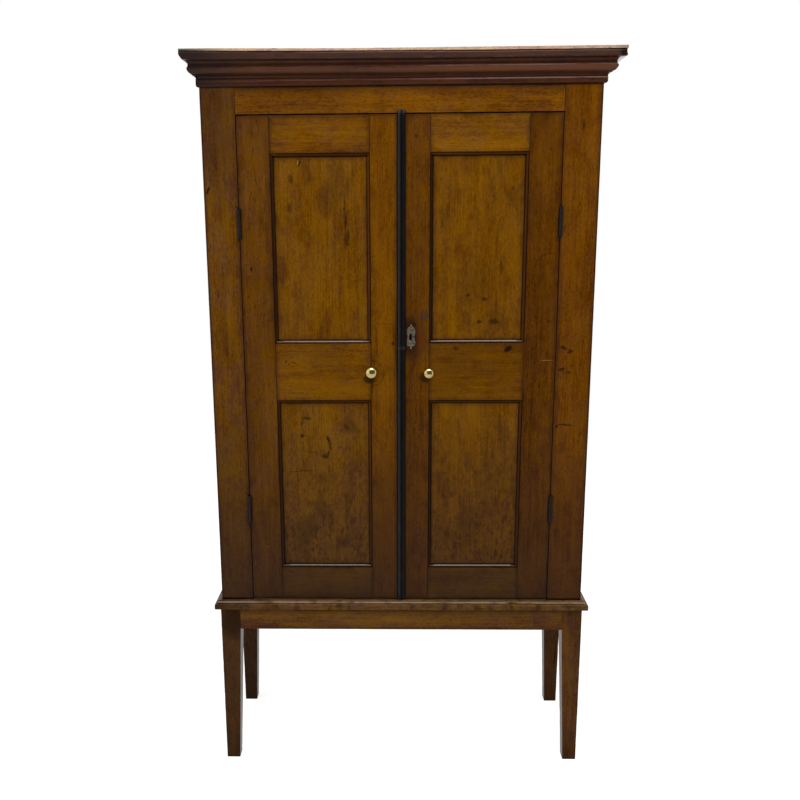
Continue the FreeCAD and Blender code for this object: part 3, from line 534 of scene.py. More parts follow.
# Larger and softer dark patches, where something wet once soaked in.
PANEL_CLOUDS = {
    "left_upper_panel": ((-190, 1700, 30, 60, 10, 0.25),),
    "left_lower_panel": ((-280, 745, 30, 42, 15, 0.5), (-225, 790, 22, 50, -20, 0.35),
                         (-172, 700, 22, 26, 0, 0.45), (-150, 1050, 24, 20, 0, 0.35)),
    "right_upper_panel": ((200, 1450, 40, 60, 0, 0.15),),
    "right_lower_panel": ((190, 740, 34, 60, 0, 0.3),),
}
FRAME_MARKS = {
    "left_lock_rail": ((-326, 1236, 2.6, 5, 24, 0.5), (-317, 1229, 2.2, 3.5, -40, 0.55),
                       (-305, 1233, 8, 2.6, 16, 0.45), (-294, 1228, 3, 2.4, -24, 0.4),
                       (-93, 1186, 16, 12, 0, 0.7)),
    "right_lock_rail": ((296, 1270, 12, 7, -40, 0.95), (150, 1273, 8, 6, 0, 0.6)),
    "right_top_rail": ((168, 1889, 3, 3, 0, 0.5),),
    "right_meeting_stile": ((36.5, 1338, 3, 6, 0, 1.0), (39, 1840, 5, 5, 0, 0.6),
                            (64, 1190, 16, 14, 0, 0.7), (20, 1304, 25, 54, 0, 0.75),
                            # The last mark is painted shade: the black inside of the keyhole, behind the
                            # plate.
                            (24.2, 1304.5, 5, 11, 0, 1.0)),
    "left_meeting_stile": ((-24.5, 1287, 3.5, 5, 0, 0.9), (-14, 1300, 7, 90, 0, 0.5),
                           (-50, 1341, 28, 1.2, 1, 0.4), (-88, 1184, 13, 9, 10, 0.6)),
    "left_hinge_stile": ((-415, 1493, 3.4, 5, 0, 1.0),),
    "right_hinge_stile": ((365.5, 1499, 1.3, 11, 10, 0.75), (372, 1515, 1.3, 9, 40, 0.75),
                          (385, 1526, 1.3, 9, 64, 0.7), (404, 1531, 12, 1.3, -6, 0.6)),
}
# Scratches and chips through the polish show the paler wood.
SCRATCHES = {
    "right_hinge_stile": ((404, 1237.5, 17, 0.9, 0, 0.6),),
    "left_hinge_stile": ((-396, 687, 5, 0.9, 25, 0.6), (-433, 640, 0.9, 9, 0, 0.4)),
    "left_upper_panel": ((-280, 1775, 1.6, 5, 8, 0.8),),
    "right_top_rail": ((150, 1880, 0.9, 6, 0, 0.3),),
}


def marked(node, *tables):
    """Layers for a board's own marks. A table comes with its colour and its size, reach and softness."""
    return [(top, stains(table[node], *spread)) for top, table, spread in tables if node in table]


# ---- the case and its doors ----
# The case sinks into the stand's moulding up to here, and its foot up to this height is painted black as the
# shadow in that joint.
CASE_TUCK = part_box("stand_moulding_front")[1].z + 0.0045
CORNICE_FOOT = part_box("cornice_front")[0].z
# The finish covers all of a board but the last of its depth, and hidden surfaces stay bare.
BARE_DEPTH = 0.004

# Each board was cut from its own plank, so each has its own tone; the tones also hold painted light, lighter
# where more light fell on a board.
FACE_TONES = {"face_stile_left": "#5b3916", "face_stile_right": "#62390a", "face_top_rail": "#6c410d"}
DOOR_TONES = {
    "left": ("#593611", "#673e06", "#663f0f", "#68410d", "#573711", "#68420c", "#6b4512"),
    "right": ("#573208", "#5a350b", "#6d4512", "#5f3a09", "#5c3b15", "#653f0b", "#69420d"),
}
DOOR_PARTS = ("_hinge_stile", "_meeting_stile", "_top_rail", "_lock_rail", "_bottom_rail",
              "_upper_panel", "_lower_panel")


def face_frame():
    for i, (node, tone) in enumerate(FACE_TONES.items()):
        lo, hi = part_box(node)
        seed = 3 + 4 * i
        bare = bare_side("Y", hi.y - BARE_DEPTH, hi.y, "x" if node == "face_top_rail" else "z")
        if node == "face_top_rail":
            # Painted shadow under the cornice, darkening the top of the rail.
            layers = [(GRIME_AND_SHADE, band("Z", CORNICE_FOOT - 0.014, hi.z, 0.010, 0.6)),
                      (DIRT_AND_SHADE, together(beyond("X", 0.05, -0.25), strength=0.20)),
                      (CREVICE, shoulders(lo, hi))] + bare
            board(node, wood("waxed_" + node, tone, "x", seed, layers), seed)
            continue
        layers = marked(node, (DIRT_AND_SHADE, FACE_MARKS, (5, 3.5, 0.3)))
        corner = (hi.x - 0.004, hi.x)
        if node == "face_stile_left":
            corner = (lo.x, lo.x + 0.004)
            layers += [(GRIME_AND_SHADE, stains(((-500, 1900, 60, 190, 0, 0.45),), 40, 20)),
                       # Darker towards the bottom, partly painted shade of the light falling off.
                       (DIRT_AND_SHADE, lower_down(1.10, 0.55, 0.24))]
        layers += [(GRIME_AND_SHADE, grime_and_shade_rim(lo, hi, 13, 0.45)), SHADE_AND_DULLING_BELOW,
                   # Painted shadow along the case's foot, over the stand's moulding.
                   (CREVICE, band("Z", lo.z, CASE_TUCK, 0.001, 0.95))] + bare
        layers.append(("#2a100e", band("X", *corner, 0.0015, 0.75)))
        board(node, wood("waxed_" + node, tone, "z", seed, layers), seed)


def opening(side, panel):
    """The lowest and highest corner of a panel where it shows, inside its frame."""
    stiles = [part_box(side + name) for name in ("_hinge_stile", "_meeting_stile")]
    stiles.sort(key=lambda box: box[0].x)
    rails = [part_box(side + name) for name in ("_bottom_rail", "_lock_rail", "_top_rail")]
    below, above = rails[:2] if panel == "_lower_panel" else rails[1:]
    return (Vector((stiles[0][1].x, FACE_Y, below[1].z)), Vector((stiles[1][0].x, FACE_Y, above[0].z)))


def door_panel(side, name, tone, seed):
    node = side + name
    lo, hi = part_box(node)
    layers = [(DIRT_AND_SHADE, cloudy(seed, 34, 0.5, 0.72, 0.30))]
    layers += marked(node, (DIRT_AND_SHADE, PANEL_CLOUDS, (30, 22, 0.6)), (DIRT_AND_SHADE, PANEL_MARKS, (7, 6.0, 0.4)),
                     (SCRATCHED, SCRATCHES, (5, 0.8)))
    if name == "_lower_panel":
        # Small blotches of old polish thicken towards the foot of the doors.
        layers.append((DIRT_AND_SHADE, together(cloudy(seed + 2, 11, 0.47, 0.66, 0.6), beyond("Z", 1.10, 0.70))))
    # Grime and painted shade round the panel, and a painted shadow line where it meets the moulding.
    layers += [(GRIME_AND_SHADE, grime_and_shade_rim(lo, hi, 24, 0.50)), SHADE_AND_DULLING_BELOW,
               ("#0d0605", grime_and_shade_rim(*opening(side, name), 3.0, 0.9))]
    layers += bare_side("Y", hi.y - BARE_DEPTH, hi.y, "z")
    look = wood("waxed_" + node, tone, "z", seed, layers, contrast=0.85, curl=0.2, patina=0.6,
                clouds=1.6, flecks=0.5)
    board(node, look, seed, steps=(18, 0, 18), hollow=0.5)


# What only one board of the doors' frames has, besides its marks.
# Painted shade, near black, on the mouldings that face right.
RIGHT_FACING_SHADE = ("#120b08", shaded_side(0.55))
OWN_LAYERS = {
    "left_meeting_stile": [(GRIME_AND_SHADE, ring_mark(-87, 1202, 36, 2.2, 0.6)),
                           # Darker towards the bottom, partly painted shade of the light falling off.
                           (DIRT_AND_SHADE, lower_down(1.05, 0.70, 0.30))],
    "left_hinge_stile": [("#2c1a12", stains(
        ((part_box("left_hinge_stile")[1].x / MM - 10, 1560, 12, 250, 0, 0.4),), 26, 8)), RIGHT_FACING_SHADE],
    "right_hinge_stile": [RIGHT_FACING_SHADE],
    "right_meeting_stile": [("#3a2d28", stains(((64, 1363, 15, 14, 0, 0.6),), 7, 3, 0.4)),
                            (GRIME_AND_SHADE, stains(((32, 1300, 36, 75, 0, 0.45),), 16, 8)),
                            ("#55290f", stains(((54, 1300, 14, 34, 0, 0.4),), 12, 6)),
                            # Painted shade, black, on its mouldings that face right.
                            ("#0c0d0d", shaded_side(0.95))],
}


def door_frame_board(side, name, tone, seed):
    node = side + name
    rail = name.endswith("_rail")
    lo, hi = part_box(node)
    tenon = Vector((TENON, 0, 0)) if rail else Vector()
    layers = [(GRIME_AND_SHADE, grime_and_shade_rim(lo + tenon, hi - tenon, 14, 0.50))]
    layers += marked(node, (DIRT_AND_SHADE, FRAME_MARKS, (6, 2.5, 0.35)), (SCRATCHED, SCRATCHES, (5, 0.8)))
    layers += OWN_LAYERS.get(node, [])
    # The moulding has dark lines where it leaves the face and where it meets the panel: painted shade in its
    # quirk and in its corner against the panel.
    layers += [SHADE_AND_DULLING_BELOW, ("#2b160b", recessed(0.5, 1.5, 0.45)),
               (CREVICE, band("Y", FACE_Y + 0.0004, FACE_Y + 0.0014, 0.0003, 0.85)),
               (CREVICE, recessed(5.6, 6.5, 0.9))]
    if rail:
        layers.append((CREVICE, shoulders(lo, hi)))
    grain = "x" if rail else "z"
    layers += bare_side("Y", hi.y - BARE_DEPTH, hi.y, grain)
    figure, contrast, flecks = (0.30, 0.86, 0.4) if rail else (0.16, 1.0, 0.7)
    look = wood("waxed_" + node, tone, grain, seed, layers, contrast, figure, flecks=flecks,
                polished=TOP_LIT)
    board(node, look, seed, eased=1.0)


def doors():
    for side, first in (("left", 20), ("right", 40)):
        for i, name in enumerate(DOOR_PARTS):
            dress = door_panel if name.endswith("_panel") else door_frame_board
            dress(side, name, DOOR_TONES[side][i], first + i)


# ---- the cornice ----
# Where its returns meet the case, how far they stand out against the front, and where it ends.
CASE_LEFT, CASE_RIGHT = -0.537, 0.529
LEFT_SCALE, RIGHT_SCALE = 41 / 45, 49 / 45
CORNICE_END, CORNICE_FRONT = 0.577, -0.222
# Its top edge, which falls from the left end to past the middle: x and z.
RIM = ((-0.604, 2.0525), (-0.434, 2.0495), (-0.254, 2.0475), (-0.004, 2.046), (0.196, 2.045),
       (0.6, 2.045))
# Painted shade in its hollows, partly dirt, from the neck up: lowest and highest place and strength.
CORNICE_HOLLOW_SHADE = ((1.9655, 1.9690, 0.75), (1.9845, 1.9905, 0.45), (1.9945, 1.9965, 0.4),
                (2.0145, 2.0225, 0.3), (2.0262, 2.0292, 0.55))
# Painted highlights on its upward-facing edges, partly edges that dusting has rubbed paler, in the same way,
# their colour and how far right they start.
CORNICE_HIGHLIGHTS_AND_RUBS = ((1.9795, 1.9822, 0.5, "#6b4436", -0.6), (1.9800, 1.9830, 0.55, "#8d6c66", 0.1),
                (2.0090, 2.0122, 0.5, "#6b4436", -0.6), (2.0095, 2.0125, 0.6, "#957470", 0.05))
# Over the front: the ogee lighter and more amber to the right, partly thin varnish and partly painted light,
# with a pale painted sheen over it; the neck darker; grey painted sheen on the fascia.
FRONT_SHEEN_AND_TONES = [
    ("#63371a", together(beyond("X", -0.15, 0.22), band("Z", 1.992, 2.009, 0.002, 1.0), strength=0.65)),
    ("#8a6a5c", band("Z", 1.994, 2.009, 0.002, 0.10)),
    ("#1d1210", band("Z", CORNICE_FOOT, 1.983, 0.002, 0.28)),
    ("#3a302d", band("Z", 2.027, 2.060, 0.002, 0.45)),
    # Two nail holes in the neck.
    (CREVICE, stains(((488, 1980, 5, 3, 0, 0.95), (498, 1977.5, 3.5, 2.5, 0, 0.95)), 4, 1)),
]


def ramp(value, start, end):
    return min(1.0, max(0.0, (value - start) / (end - start)))


def rim_height(x):
    for (x0, z0), (x1, z1) in zip(RIM, RIM[1:]):
        if x < x1:
            return z0 + (z1 - z0) * (x - x0) / (x1 - x0)
    return RIM[-1][1]


def settled(point, out_axis, face, scale):
    """Where a point of the cornice has come to lie.

    The moulding stands out from the case's face along out_axis, on a scale of 1 in front. Its foot
    and the board over it have stayed, and what is between has crept up towards the left end.
    """
    creep, cove, neck, open_joint = 3.4 * MM, 1.6 * MM, 1.8 * MM, 2.2 * MM
    chip_reach = 12 * MM
    z = point.z + creep * ramp(-point.x, 0, CORNICE_END) * ramp(
        point.z, CORNICE_FOOT, CORNICE_FOOT + 0.020) * ramp(point.z, 2.051, 2.028)
    x, y = point.x, point.y
    # A cove over the neck is worn deep.
    sunk = cove * ramp(point.z, 1.9825, 1.9855) * ramp(point.z, 1.9915, 1.9870)
    # The neck stands out less towards the left end.
    sunk += neck * ramp(-point.x, 0.3, 0.5) * ramp(point.z, 1.9925, 1.9900)
    # The fascia is stepped back just under the board, where the joint is open.
    rim = rim_height(point.x)
    sunk += open_joint * ramp(point.z, rim - 0.0034, rim - 0.0026)
    if out_axis == "y":
        y = min(face, y + sunk)
    elif x < 0:
        x = min(face, x + sunk * scale)
    else:
        x = max(face, x - sunk * scale)
    # The fascia's lower corner is knocked round at the left.
    if 2.024 < z < 2.0445:
        rounded = 0.0297 + 0.0150 * ramp(z, 2.0273, 2.0423) ** 0.6
        x = max(x, CASE_LEFT - rounded * LEFT_SCALE)
    # Its top corner is chipped away at the right.
    away = (Vector((x, y, z)) - Vector((CORNICE_END, CORNICE_FRONT, 2.043))).length
    if away < chip_reach and x > CASE_RIGHT:
        bite = (1 - away / chip_reach) * (3.2 + 2.5 * noise.noise(point * 260)) * MM
        x, y = x - bite, y + bite
    return Vector((x, y, z))


def cornice():
    lengths = (("cornice_front", "y", FACE_Y, 1, LEDGES), ("cornice_left", "x", CASE_LEFT, LEFT_SCALE, None),
               ("cornice_right", "x", CASE_RIGHT, RIGHT_SCALE, SOFFIT))
    for i, (node, out_axis, face, scale, polished) in enumerate(lengths):
        front = out_axis == "y"
        layers = [(DIRT_AND_SHADE, cloudy(70 + i, 45, 0.45, 0.7, 0.5))] + (FRONT_SHEEN_AND_TONES if front else [])
        layers += [("#150807", band("Z", z0, z1, 0.0012, strength)) for z0, z1, strength in CORNICE_HOLLOW_SHADE]
        layers += [(colour, together(band("Z", z0, z1, 0.0008, strength), patchy(90, 0.32, 0.50),
                                     beyond("X", start - 0.1, start + 0.1)))
                   for z0, z1, strength, colour, start in CORNICE_HIGHLIGHTS_AND_RUBS]
        layers += [("#1b1717", uneven_end(-0.36, -0.55, 40, 25, 0.85)),
                   (CREVICE, stains(((568, 2036, 9, 8, 0, 0.9), (560, 2043, 16, 3, 0, 0.8)), 8, 3))]
        look = wood("dark_varnish_" + node, "#482615", "x" if front else "y", 60 + i, layers,
                    roughness=(0.26, 0.38), gloss=0.35, sheen="#ffc9b8", amber=0.3, polished=polished)
        board(node, look, 60 + i, 0.4, (8, 0, 1.6) if front else (0, 12, 1.6), 0.25, 0.8,
              lambda point: settled(point, out_axis, face, scale))
    lo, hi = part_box("dust_board")
    layers = [("#5e5343", uneven_end(lo.x + 0.150, lo.x + 0.020, 30, 14)),
              ("#8a7a66", uneven_end(hi.x - 0.045, hi.x - 0.010, 30, 10))]
    board("dust_board", wood("sawn_dust_board", "#b3927a", "x", 66, layers, roughness=(0.7, 0.85),
                             gloss=0.15, amber=0, patina=0.15), 66, 0.4, (9, 60, 0), 0.2, 1.0)


# ---- the stand ----
def stand():
    legs = (("leg_front_left", "#3f2819"), ("leg_front_right", "#55361c"),
            ("leg_back_left", "#3b281b"), ("leg_back_right", "#4c301c"))
    for i, (node, tone) in enumerate(legs):
        layers = [(DIRT_AND_SHADE, lower_down(0.12, 0.0, 0.45)), (DIRT_AND_SHADE, cloudy(80 + i, 30, 0.5, 0.75, 0.4))]
        if node == "leg_back_right":
            layers.append((CREVICE, stains(((524, 175, 1.6, 48, 3, 0.95),), 12, 3)))
        if node == "leg_front_left":
            layers.append((DIRT_AND_SHADE, stains(((-505, 445, 34, 45, 0, 0.75),), 30, 12)))
        board(node, wood("waxed_" + node, tone, "z", 80 + i, layers, amber=0.3,
                         polished=OUTWARD_SIDES), 80 + i, 1.2, (0, 0, 14), 0.4, 0.9)
    for i, node in enumerate(("apron_front", "apron_back", "apron_left", "apron_right")):
        grain, steps = ("x", (20, 0, 20)) if i < 2 else ("y", (0, 20, 20))
        rim = [(DIRT_AND_SHADE, grime_and_shade_rim(*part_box(node), 14, 0.5))] if i == 0 else []
        board(node, wood("waxed_" + node, "#62401f", grain, 90 + i, rim, figure=0.34, amber=0.35),
              90 + i, 0.8, steps)
    for i, node in enumerate(("stand_moulding_front", "stand_moulding_left", "stand_moulding_right")):
        grain, steps = ("x", (8, 0, 0)) if i == 0 else ("y", (0, 8, 0))
        layers = [(DIRT_AND_SHADE, cloudy(100 + i, 22, 0.48, 0.66, 0.7)),
                  (DIRT_AND_SHADE, uneven_end(-0.44, -0.54, 30, 25, 0.75)),
                  # Painted highlight along the bead's top edge, partly pale wear, broken into patches.
                  ("#a2978c", together(band("Z", 0.5155, 0.5185, 0.001, 0.90), patchy(60, 0.34, 0.52)))]
        board(node, wood("worn_varnish_" + node, "#5d4123", grain, 100 + i, layers,
                         roughness=(0.3, 0.42), gloss=0.2, amber=0.4), 100 + i, 0.6, steps, 0.25, 1.2)


# ---- the rest of the case ----
BACK_BOARDS = 5
BACK_LAP = 6 * MM


def back_board_at(inside):
    """Which of the half-lapped back boards a point is in. Each lies a lap further right at the back."""
    lo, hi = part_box("back_boards")
    lap = BACK_LAP if inside.y > (lo.y + hi.y) / 2 else 0.0
    return int((inside.x - lap - lo.x) / ((hi.x - lo.x) / BACK_BOARDS))


def carcass():
    """Sides, floor, top, back and shelves: finished only where they show on a shut cupboard."""
    for i, (node, inward) in enumerate((("side_left", 1), ("side_right", -1))):
        lo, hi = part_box(node)
        inner = (hi.x, lo.x)[i]
        layers = [SHADE_AND_DULLING_BELOW] + bare_side("X", inner - inward * BARE_DEPTH, inner, "z")
        board(node, wood("waxed_" + node, "#5b3813", "z", 110 + i, layers), 110 + i, 0.8, (0, 30, 30))
    for i, (node, tone, grain) in enumerate((
            ("bottom_board", "#7a5a38", "x"), ("top_board", "#ab8d68", "x"),
            ("shelf_lower", "#7a5a38", "x"), ("shelf_middle", "#7e5d3a", "x"),
            ("shelf_upper", "#775635", "x"), ("shelf_cleats", "#9a7c58", "y"),
            ("door_stops", "#7a5a38", "x"), ("back_boards", "#8a6a47", "z"))):
        back = node == "back_boards"
        dusty = [(DIRT_AND_SHADE, cloudy(120 + i, 90, 0.46, 0.74, 0.35))]
        look = wood("dry_" + node, tone, grain, 120 + i, dusty, contrast=1.2, patina=0.12, amber=0,
                    clouds=2.0, roughness=(0.6, 0.75), gloss=0.2)
        board(node, look, 120 + i, 0.8, (40, 0, 40) if back else (40, 40, 0),
              whose=back_board_at if back else None)


def astragal():
    """Ebonised strip in two lengths, worn to grey on its left bead."""
    lo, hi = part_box("astragal")
    middle = (lo.x + hi.x) / 2
    layers = [("#252527", cloudy(131, 12, 0.48, 0.72, 0.6)),
              ("#262627", band("X", lo.x, middle - 0.0035, 0.002, 0.6)),
              ("#030405", band("X", middle - 0.001, hi.x, 0.002, 0.7)),
              # The two lengths meet here, one end worn grey and a gap over it.
              ("#30363a", band("Z", 1.2715, 1.2775, 0.0015, 0.6)),
              (CREVICE, band("Z", 1.2785, 1.2795, 0.0006, 0.95)),
              # The foot is black and the top end grey.
              ("#05060a", band("Z", lo.z, lo.z + 0.012, 0.004, 0.8)),
              ("#3d4246", band("Z", hi.z - 0.007, hi.z, 0.002, 0.6))]
    look = wood("ebonised_strip", "#0e0d0e", "z", 130, layers, roughness=(0.35, 0.5), gloss=0.16,
                flecks=0.2, patina=0, amber=0, sheen="#fff2e8")
    board("astragal", look, 130, 0.3, (0, 0, 9), 0.15, 0.4)


# ---- ironmongery ----
def turned_knob(node, material, radius):
    """A knob as it came off the lathe, round its own axis: rose, waisted neck and flattened ball."""
    lo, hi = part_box(node)
    axis_x, axis_z = (lo.x + hi.x) / 2, (lo.z + hi.z) / 2
    # The ball is a round rim with a flatter dome over it, which meet where the rim has turned so far.
    rim_r, rim_y, turn = 0.44 * radius, -17.5, math.radians(55)
    rim_x = radius - rim_r
    dome_edge = (rim_x + rim_r * math.cos(turn), rim_y - rim_r * math.sin(turn))
    dome_r = dome_edge[0] / math.cos(turn)
    dome_centre = dome_edge[1] + dome_r * math.sin(turn)
    # From the door outward: share of the radius, and depth.
    neck = ((0.62, 0.0), (0.62, -1.1), (0.59, -1.5), (0.50, -2.3), (0.43, -3.6), (0.38, -5.0),
            (0.36, -6.4), (0.37, -7.6))
    outline = [(share * radius, depth) for share, depth in neck]
    start = Vector((rim_x, rim_y + rim_r))
    waist = Vector(outline[-1])
    corner = Vector((0.39 * radius, start.y + 0.4))
    for i in range(1, 5):
        t = i / 5
        outline.append(tuple((1 - t) ** 2 * waist + 2 * t * (1 - t) * corner + t * t * start))
    for i in range(19):
        angle = math.radians(90) - (math.radians(90) + turn) * i / 18
        outline.append((rim_x + rim_r * math.cos(angle), rim_y + rim_r * math.sin(angle)))
    for i in range(1, 11):
        angle = math.asin(dome_edge[0] / dome_r) * (1 - i / 10)
        outline.append((dome_r * math.sin(angle), dome_centre - dome_r * math.cos(angle)))
    bm = bmesh.new()
    around = 72
    turns = [math.tau * i / around for i in range(around)]
    # The last point of the outline is on the axis, where one vertex is enough.
    rows = [[bm.verts.new((axis_x + out * MM * math.cos(angle), FACE_Y + depth * MM,
                           axis_z + out * MM * math.sin(angle)))
             for angle in (turns if out > 1e-6 else turns[:1])] for out, depth in outline]
    for row, following in zip(rows, rows[1:]):
        for i in range(around):
            j = (i + 1) % around
            if len(following) == 1:
                bm.faces.new((row[i], row[j], following[0]))
            else:
                bm.faces.new((row[i], row[j], following[j], following[i]))
    bm.faces.new(reversed(rows[0]))
    bmesh.ops.recalc_face_normals(bm, faces=bm.faces)
    to_piece(bm, "turned_", node, material, 50)


KEYHOLE_X, KEYHOLE_Z = 24.2, 1304.4


def cast_escutcheon(material):
    """The keyhole plate with its worn relief of leaves, softened all round."""
    half_width, half_height, deepest = 3.7 * MM, 8.6 * MM, 0.3 * MM
    bm = cad_copy("escutcheon")
    ease_edges(bm, 0.35)
    slice_up(bm, (1.0, 0, 1.0))
    lo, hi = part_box("escutcheon")
    middle = (lo.x + hi.x) / 2
    for v in bm.verts:
        aside = abs(v.co.x - KEYHOLE_X * MM) < half_width
        if aside and abs(v.co.z - KEYHOLE_Z * MM) < half_height and v.co.y < hi.y - 0.4 * MM:
            v.co.y = hi.y - deepest
            continue
        out = abs(v.co.x - middle) / MM
        if out > 6:
            # Fuller at the waist and slimmer at the lobes than the blank, with notched leaves.
            notch = 0.45 * max(0.0, math.sin(v.co.z / MM * 1.1))
            shaped = 6 + (out - 6) * 4 / 3 if out < 9 else 10 + (out - 9) * 0.52
            v.co.x = middle + math.copysign((shaped - notch) * MM, v.co.x - middle)
        if v.co.y < lo.y + 0.1 * MM:
            relief = noise.noise(v.co * 300) + 0.5 * noise.noise(v.co * 620 + Vector((7, 3, 5)))
            edge = any(e.calc_face_angle(0) > 0.3 for e in v.link_edges)
            v.co.y = min(v.co.y + (0.1 if edge else 0.25 - 0.25 * relief) * MM, hi.y - deepest)
    bm.normal_update()
    to_piece(bm, "cast_", "escutcheon", material, 60)


def studs(name, body, places, turn, material, radius, rise, seed):
    """Domed heads of pins or nails, one at each place. Turn is that of +Z."""
    tree = bpy.data.node_groups.new(name, "GeometryNodeTree")
    keys = {}
    for label, kind, value in (("Places", "Geometry", None), ("Head Radius", "Float", radius * MM),
                               ("Head Rise", "Float", rise * MM), ("Seed", "Int", seed)):
        socket = tree.interface.new_socket(label, in_out="INPUT", socket_type="NodeSocket" + kind)
        if value is not None:
            keys[socket.identifier] = value
    tree.interface.new_socket("Heads", in_out="OUTPUT", socket_type="NodeSocketGeometry")
    given = add(tree, "NodeGroupInput").outputs
    size = add(tree, "ShaderNodeCombineXYZ", {
        0: given["Head Radius"], 1: given["Head Radius"], 2: given["Head Rise"]})
    ball = add(tree, "GeometryNodeMeshUVSphere", {"Segments": 14, "Rings": 8, "Radius": 1.0})
    head = add(tree, "GeometryNodeTransform", {"Geometry": ball.outputs["Mesh"], "Scale": size.outputs[0]})
    spread = add(tree, "FunctionNodeRandomValue", {"Seed": given["Seed"], 2: 0.85, 3: 1.0},
                 data_type="FLOAT")
    placed = add(tree, "GeometryNodeInstanceOnPoints", {
        "Points": given["Places"], "Instance": head.outputs[0], "Rotation": turn,
        "Scale": spread.outputs[1]})
    real = add(tree, "GeometryNodeRealizeInstances", {"Geometry": placed.outputs[0]})
    painted = add(tree, "GeometryNodeSetMaterial", {"Geometry": real.outputs[0], "Material": material})
    add(tree, "NodeGroupOutput", {"Heads": painted.outputs[0]})
    points = bpy.data.meshes.new(name)
    points.from_pydata([Vector(p) * MM for p in places], [], [])
    piece = put(name, points)
    modifier = piece.modifiers.new("heads", "NODES")
    modifier.node_group = tree
    for key, value in keys.items():
        modifier[key] = value
    finished = bpy.data.meshes.new_from_object(piece.evaluated_get(bpy.context.evaluated_depsgraph_get()))
    piece.modifiers.clear()
    piece.data = finished
    finished.shade_smooth()
    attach(piece, body)


def ironmongery():
    # Blackened wrought iron: almost no colour, a dull scale with faint brown rust.
    iron = metal("blackened_iron", ("#0a080a", "#1a1012"), (0.4, 0.7), (0.45, 0.6), 0.0, gloss=0.28)
    # Old slotted steel screws.
    steel = metal("old_steel_screws", ("#2a2624", "#15110f"), (0.4, 0.7), (0.4, 0.6), 0.9)
    # Polished and lacquered yellow brass, a little dulled in the hollows.
    bright = metal("polished_brass", ("#d3c084", "#b99d55"), (0.5, 0.8), (0.15, 0.22), 1.0)
    # Brass left alone for a century: a grey-green film with yellow rubs.
    dull = metal("patinated_brass", ("#5d5a50", "#8a7a45"), (0.55, 0.72), (0.38, 0.55), 0.85, 3.0)
    # The cast plate is greyer: pale metal rubbed on its relief, black round its foot, partly dirt and partly
    # painted shade, and black painted shade in its keyhole.
    plate = metal("pitted_cast_brass", ("#6f6757", "#211c17"), (0.46, 0.64), (0.45, 0.62), 0.35, 2.8,
                  [("#938656", lambda tree, coords: dots(tree, coords, 5, 1.0, 0.3)),
                   # Painted shade: black round the plate's foot, partly dirt, and black down its keyhole.
                   ("#010101", recessed(-0.45, -0.35, 1.0)),
                   ("#010101", stains(((KEYHOLE_X, KEYHOLE_Z, 4.2, 9.4, 0, 1.0),), 9, 0, 0.06))],
                  gloss=0.3)
    looks = {"hinge_iron": iron, "screw_iron": steel, "polished_brass": bright, "aged_brass": dull}
    for node, piece in frame["nodes"].items():
        if SLOTS[node] in looks:
            piece.data.materials.clear()
            piece.data.materials.append(looks[SLOTS[node]])
    turned_knob("left_knob", bright, 15.9)
    turned_knob("right_knob", bright, 14.2)
    cast_escutcheon(plate)
    forward, backward = (math.pi / 2, 0, 0), (-math.pi / 2, 0, 0)
    plate_front = FACE_Y / MM - 1.5
    pins = [(x, plate_front, z) for x, z in ((25.4, 1333), (25.4, 1275), (16.5, 1288), (34.0, 1288))]
    studs("escutcheon_pins", "right_door", pins, forward, plate, 1.5, 0.8, 1)
    # The back boards are nailed at their ends and to each shelf.
    lo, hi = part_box("back_boards")
    pitch = (hi.x - lo.x) / MM / BACK_BOARDS
    nails = [(lo.x / MM + pitch * (i + share), hi.y / MM - 0.45, z)
             for i in range(BACK_BOARDS) for share in (0.2, 0.8) for z in (512, 886, 1257, 1629, 2000)]
    studs("back_board_nails", "case", nails, backward, iron, 3.2, 0.4, 2)


# ---- floor, light and camera ----
def ray_kinds(tree):
    """1 for rays from the camera, and 1 for rays that a reflection or a glass sends out."""
    path = add(tree, "ShaderNodeLightPath").outputs
    return path["Is Camera Ray"], maths(tree, "MAXIMUM", path["Is Glossy Ray"], path["Is Transmission Ray"])


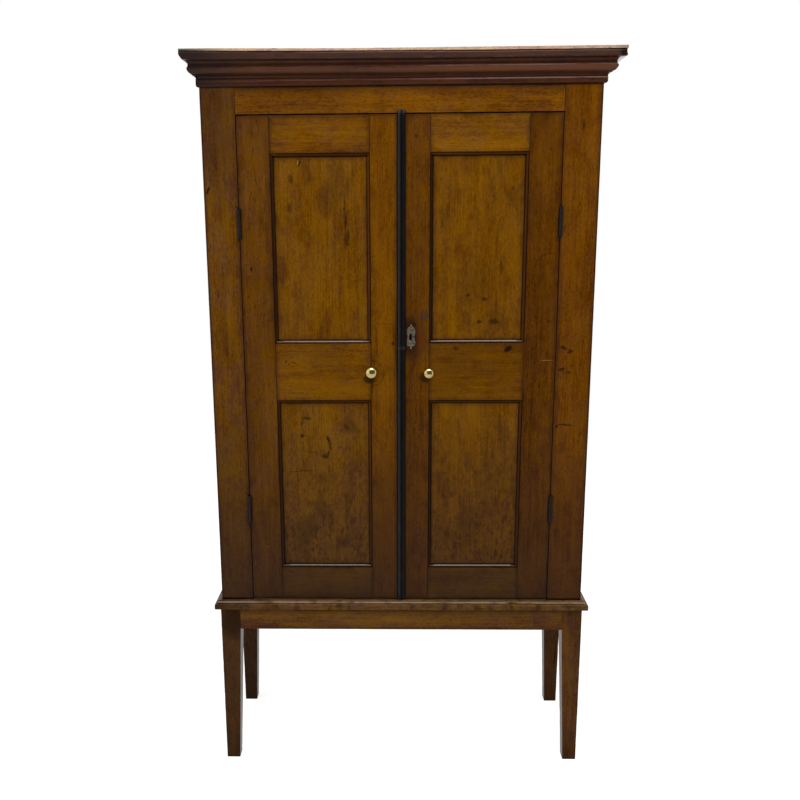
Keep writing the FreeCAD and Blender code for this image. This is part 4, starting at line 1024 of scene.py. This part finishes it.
def studio():
    floor_mesh = bpy.data.meshes.new("floor")
    reach = 4.2
    floor_mesh.from_pydata([(-reach, -reach, 0), (reach, -reach, 0), (reach, reach, 0),
                            (-reach, reach, 0)], [], [(0, 1, 2, 3)])
    floor = put("floor", floor_mesh)
    # White to the camera and pale in reflections, with only the deepest shadow left on it.
    material, tree = blank_material("pale_floor")
    seen, mirrored = ray_kinds(tree)
    level = maths(tree, "MULTIPLY_ADD", seen, 0.80, times(tree, mirrored, 0.25))
    glow = add(tree, "ShaderNodeEmission", {"Strength": level})
    matt = add(tree, "ShaderNodeBsdfDiffuse", {"Color": linear("#b4b4b4")})
    both = add(tree, "ShaderNodeAddShader", {0: glow.outputs[0], 1: matt.outputs[0]})
    add(tree, "ShaderNodeOutputMaterial", {"Surface": both.outputs[0]})
    floor_mesh.materials.append(material)

    world = bpy.data.worlds.new("studio")
    bpy.context.scene.world = world
    world.use_nodes = True
    tree = world.node_tree
    tree.nodes.clear()
    seen, mirrored = ray_kinds(tree)
    direction = add(tree, "ShaderNodeTexCoord").outputs["Generated"]
    # Reflections show the white backdrop too, but the viewer's side of the room is dim.
    viewer_side = vectors(tree, "DOT_PRODUCT", direction, Vector((0.25, -0.95, 0.15)).normalized())
    room = remap(tree, viewer_side, 0.80, 0.60, 0.10, 1.0, "SMOOTHSTEP")
    soft = remap(tree, coordinate(tree, direction, "Z"), -0.2, 0.9, 0.28, 0.60)
    level = add(tree, "ShaderNodeMix", {0: mirrored, 2: soft, 3: room}).outputs[0]
    level = add(tree, "ShaderNodeMix", {0: seen, 2: level, 3: 1.0}).outputs[0]
    background = add(tree, "ShaderNodeBackground", {"Color": (1, 1, 1, 1), "Strength": level})
    add(tree, "ShaderNodeOutputWorld", {"Surface": background.outputs[0]})

    target = Vector((0, 0, 1.2))
    for name, place, size, watts in (("key", (1.3, -2.9, 3.9), (2.5, 2.1), 44),
                                     ("window", (-2.9, -0.9, 1.7), (1.2, 1.2), 24),
                                     ("overhead", (0.3, -1.5, 4.2), (2.4, 2.2), 66),
                                     ("fill", (-2.4, -3.2, 2.2), (2.4, 2.4), 30)):
        data = bpy.data.lights.new(name, "AREA")
        data.shape = "RECTANGLE"
        data.size, data.size_y = size
        data.energy = watts
        lamp = put(name, data)
        # Only the overhead lamp shows in reflections, as one broad soft highlight.
        lamp.visible_glossy = name == "overhead"
        lamp.location = place
        lamp.rotation_euler = (target - Vector(place)).to_track_quat("-Z", "Y").to_euler()


def camera():
    """Set a little left of the middle at chest height, looking slightly down."""
    pitch, yaw, roll = math.radians(12.988), math.radians(-1.541), math.radians(-0.420)
    place = Vector((-0.01577, -2.78537, 1.60918))
    focal_pixels, picture_pixels = 935.07, 800
    centre_pixel = (371.83, 440.8)
    data = bpy.data.cameras.new("camera")
    data.sensor_width = 36.0
    data.lens = focal_pixels * data.sensor_width / picture_pixels
    data.shift_x = (picture_pixels / 2 - centre_pixel[0]) / picture_pixels
    data.shift_y = (centre_pixel[1] - picture_pixels / 2) / picture_pixels
    ahead = Vector((math.sin(yaw) * math.cos(pitch), math.cos(yaw) * math.cos(pitch), -math.sin(pitch)))
    level = Vector((math.cos(yaw), -math.sin(yaw), 0))
    above = level.cross(ahead)
    right = level * math.cos(roll) + above * math.sin(roll)
    up = above * math.cos(roll) - level * math.sin(roll)
    eye = put("camera", data)
    eye.matrix_world = Matrix((right, up, -ahead)).transposed().to_4x4()
    eye.location = place
    bpy.context.scene.camera = eye


face_frame()
doors()
cornice()
stand()
carcass()
astragal()
ironmongery()
studio()
camera()

bpy.context.scene.view_settings.view_transform = "Standard"
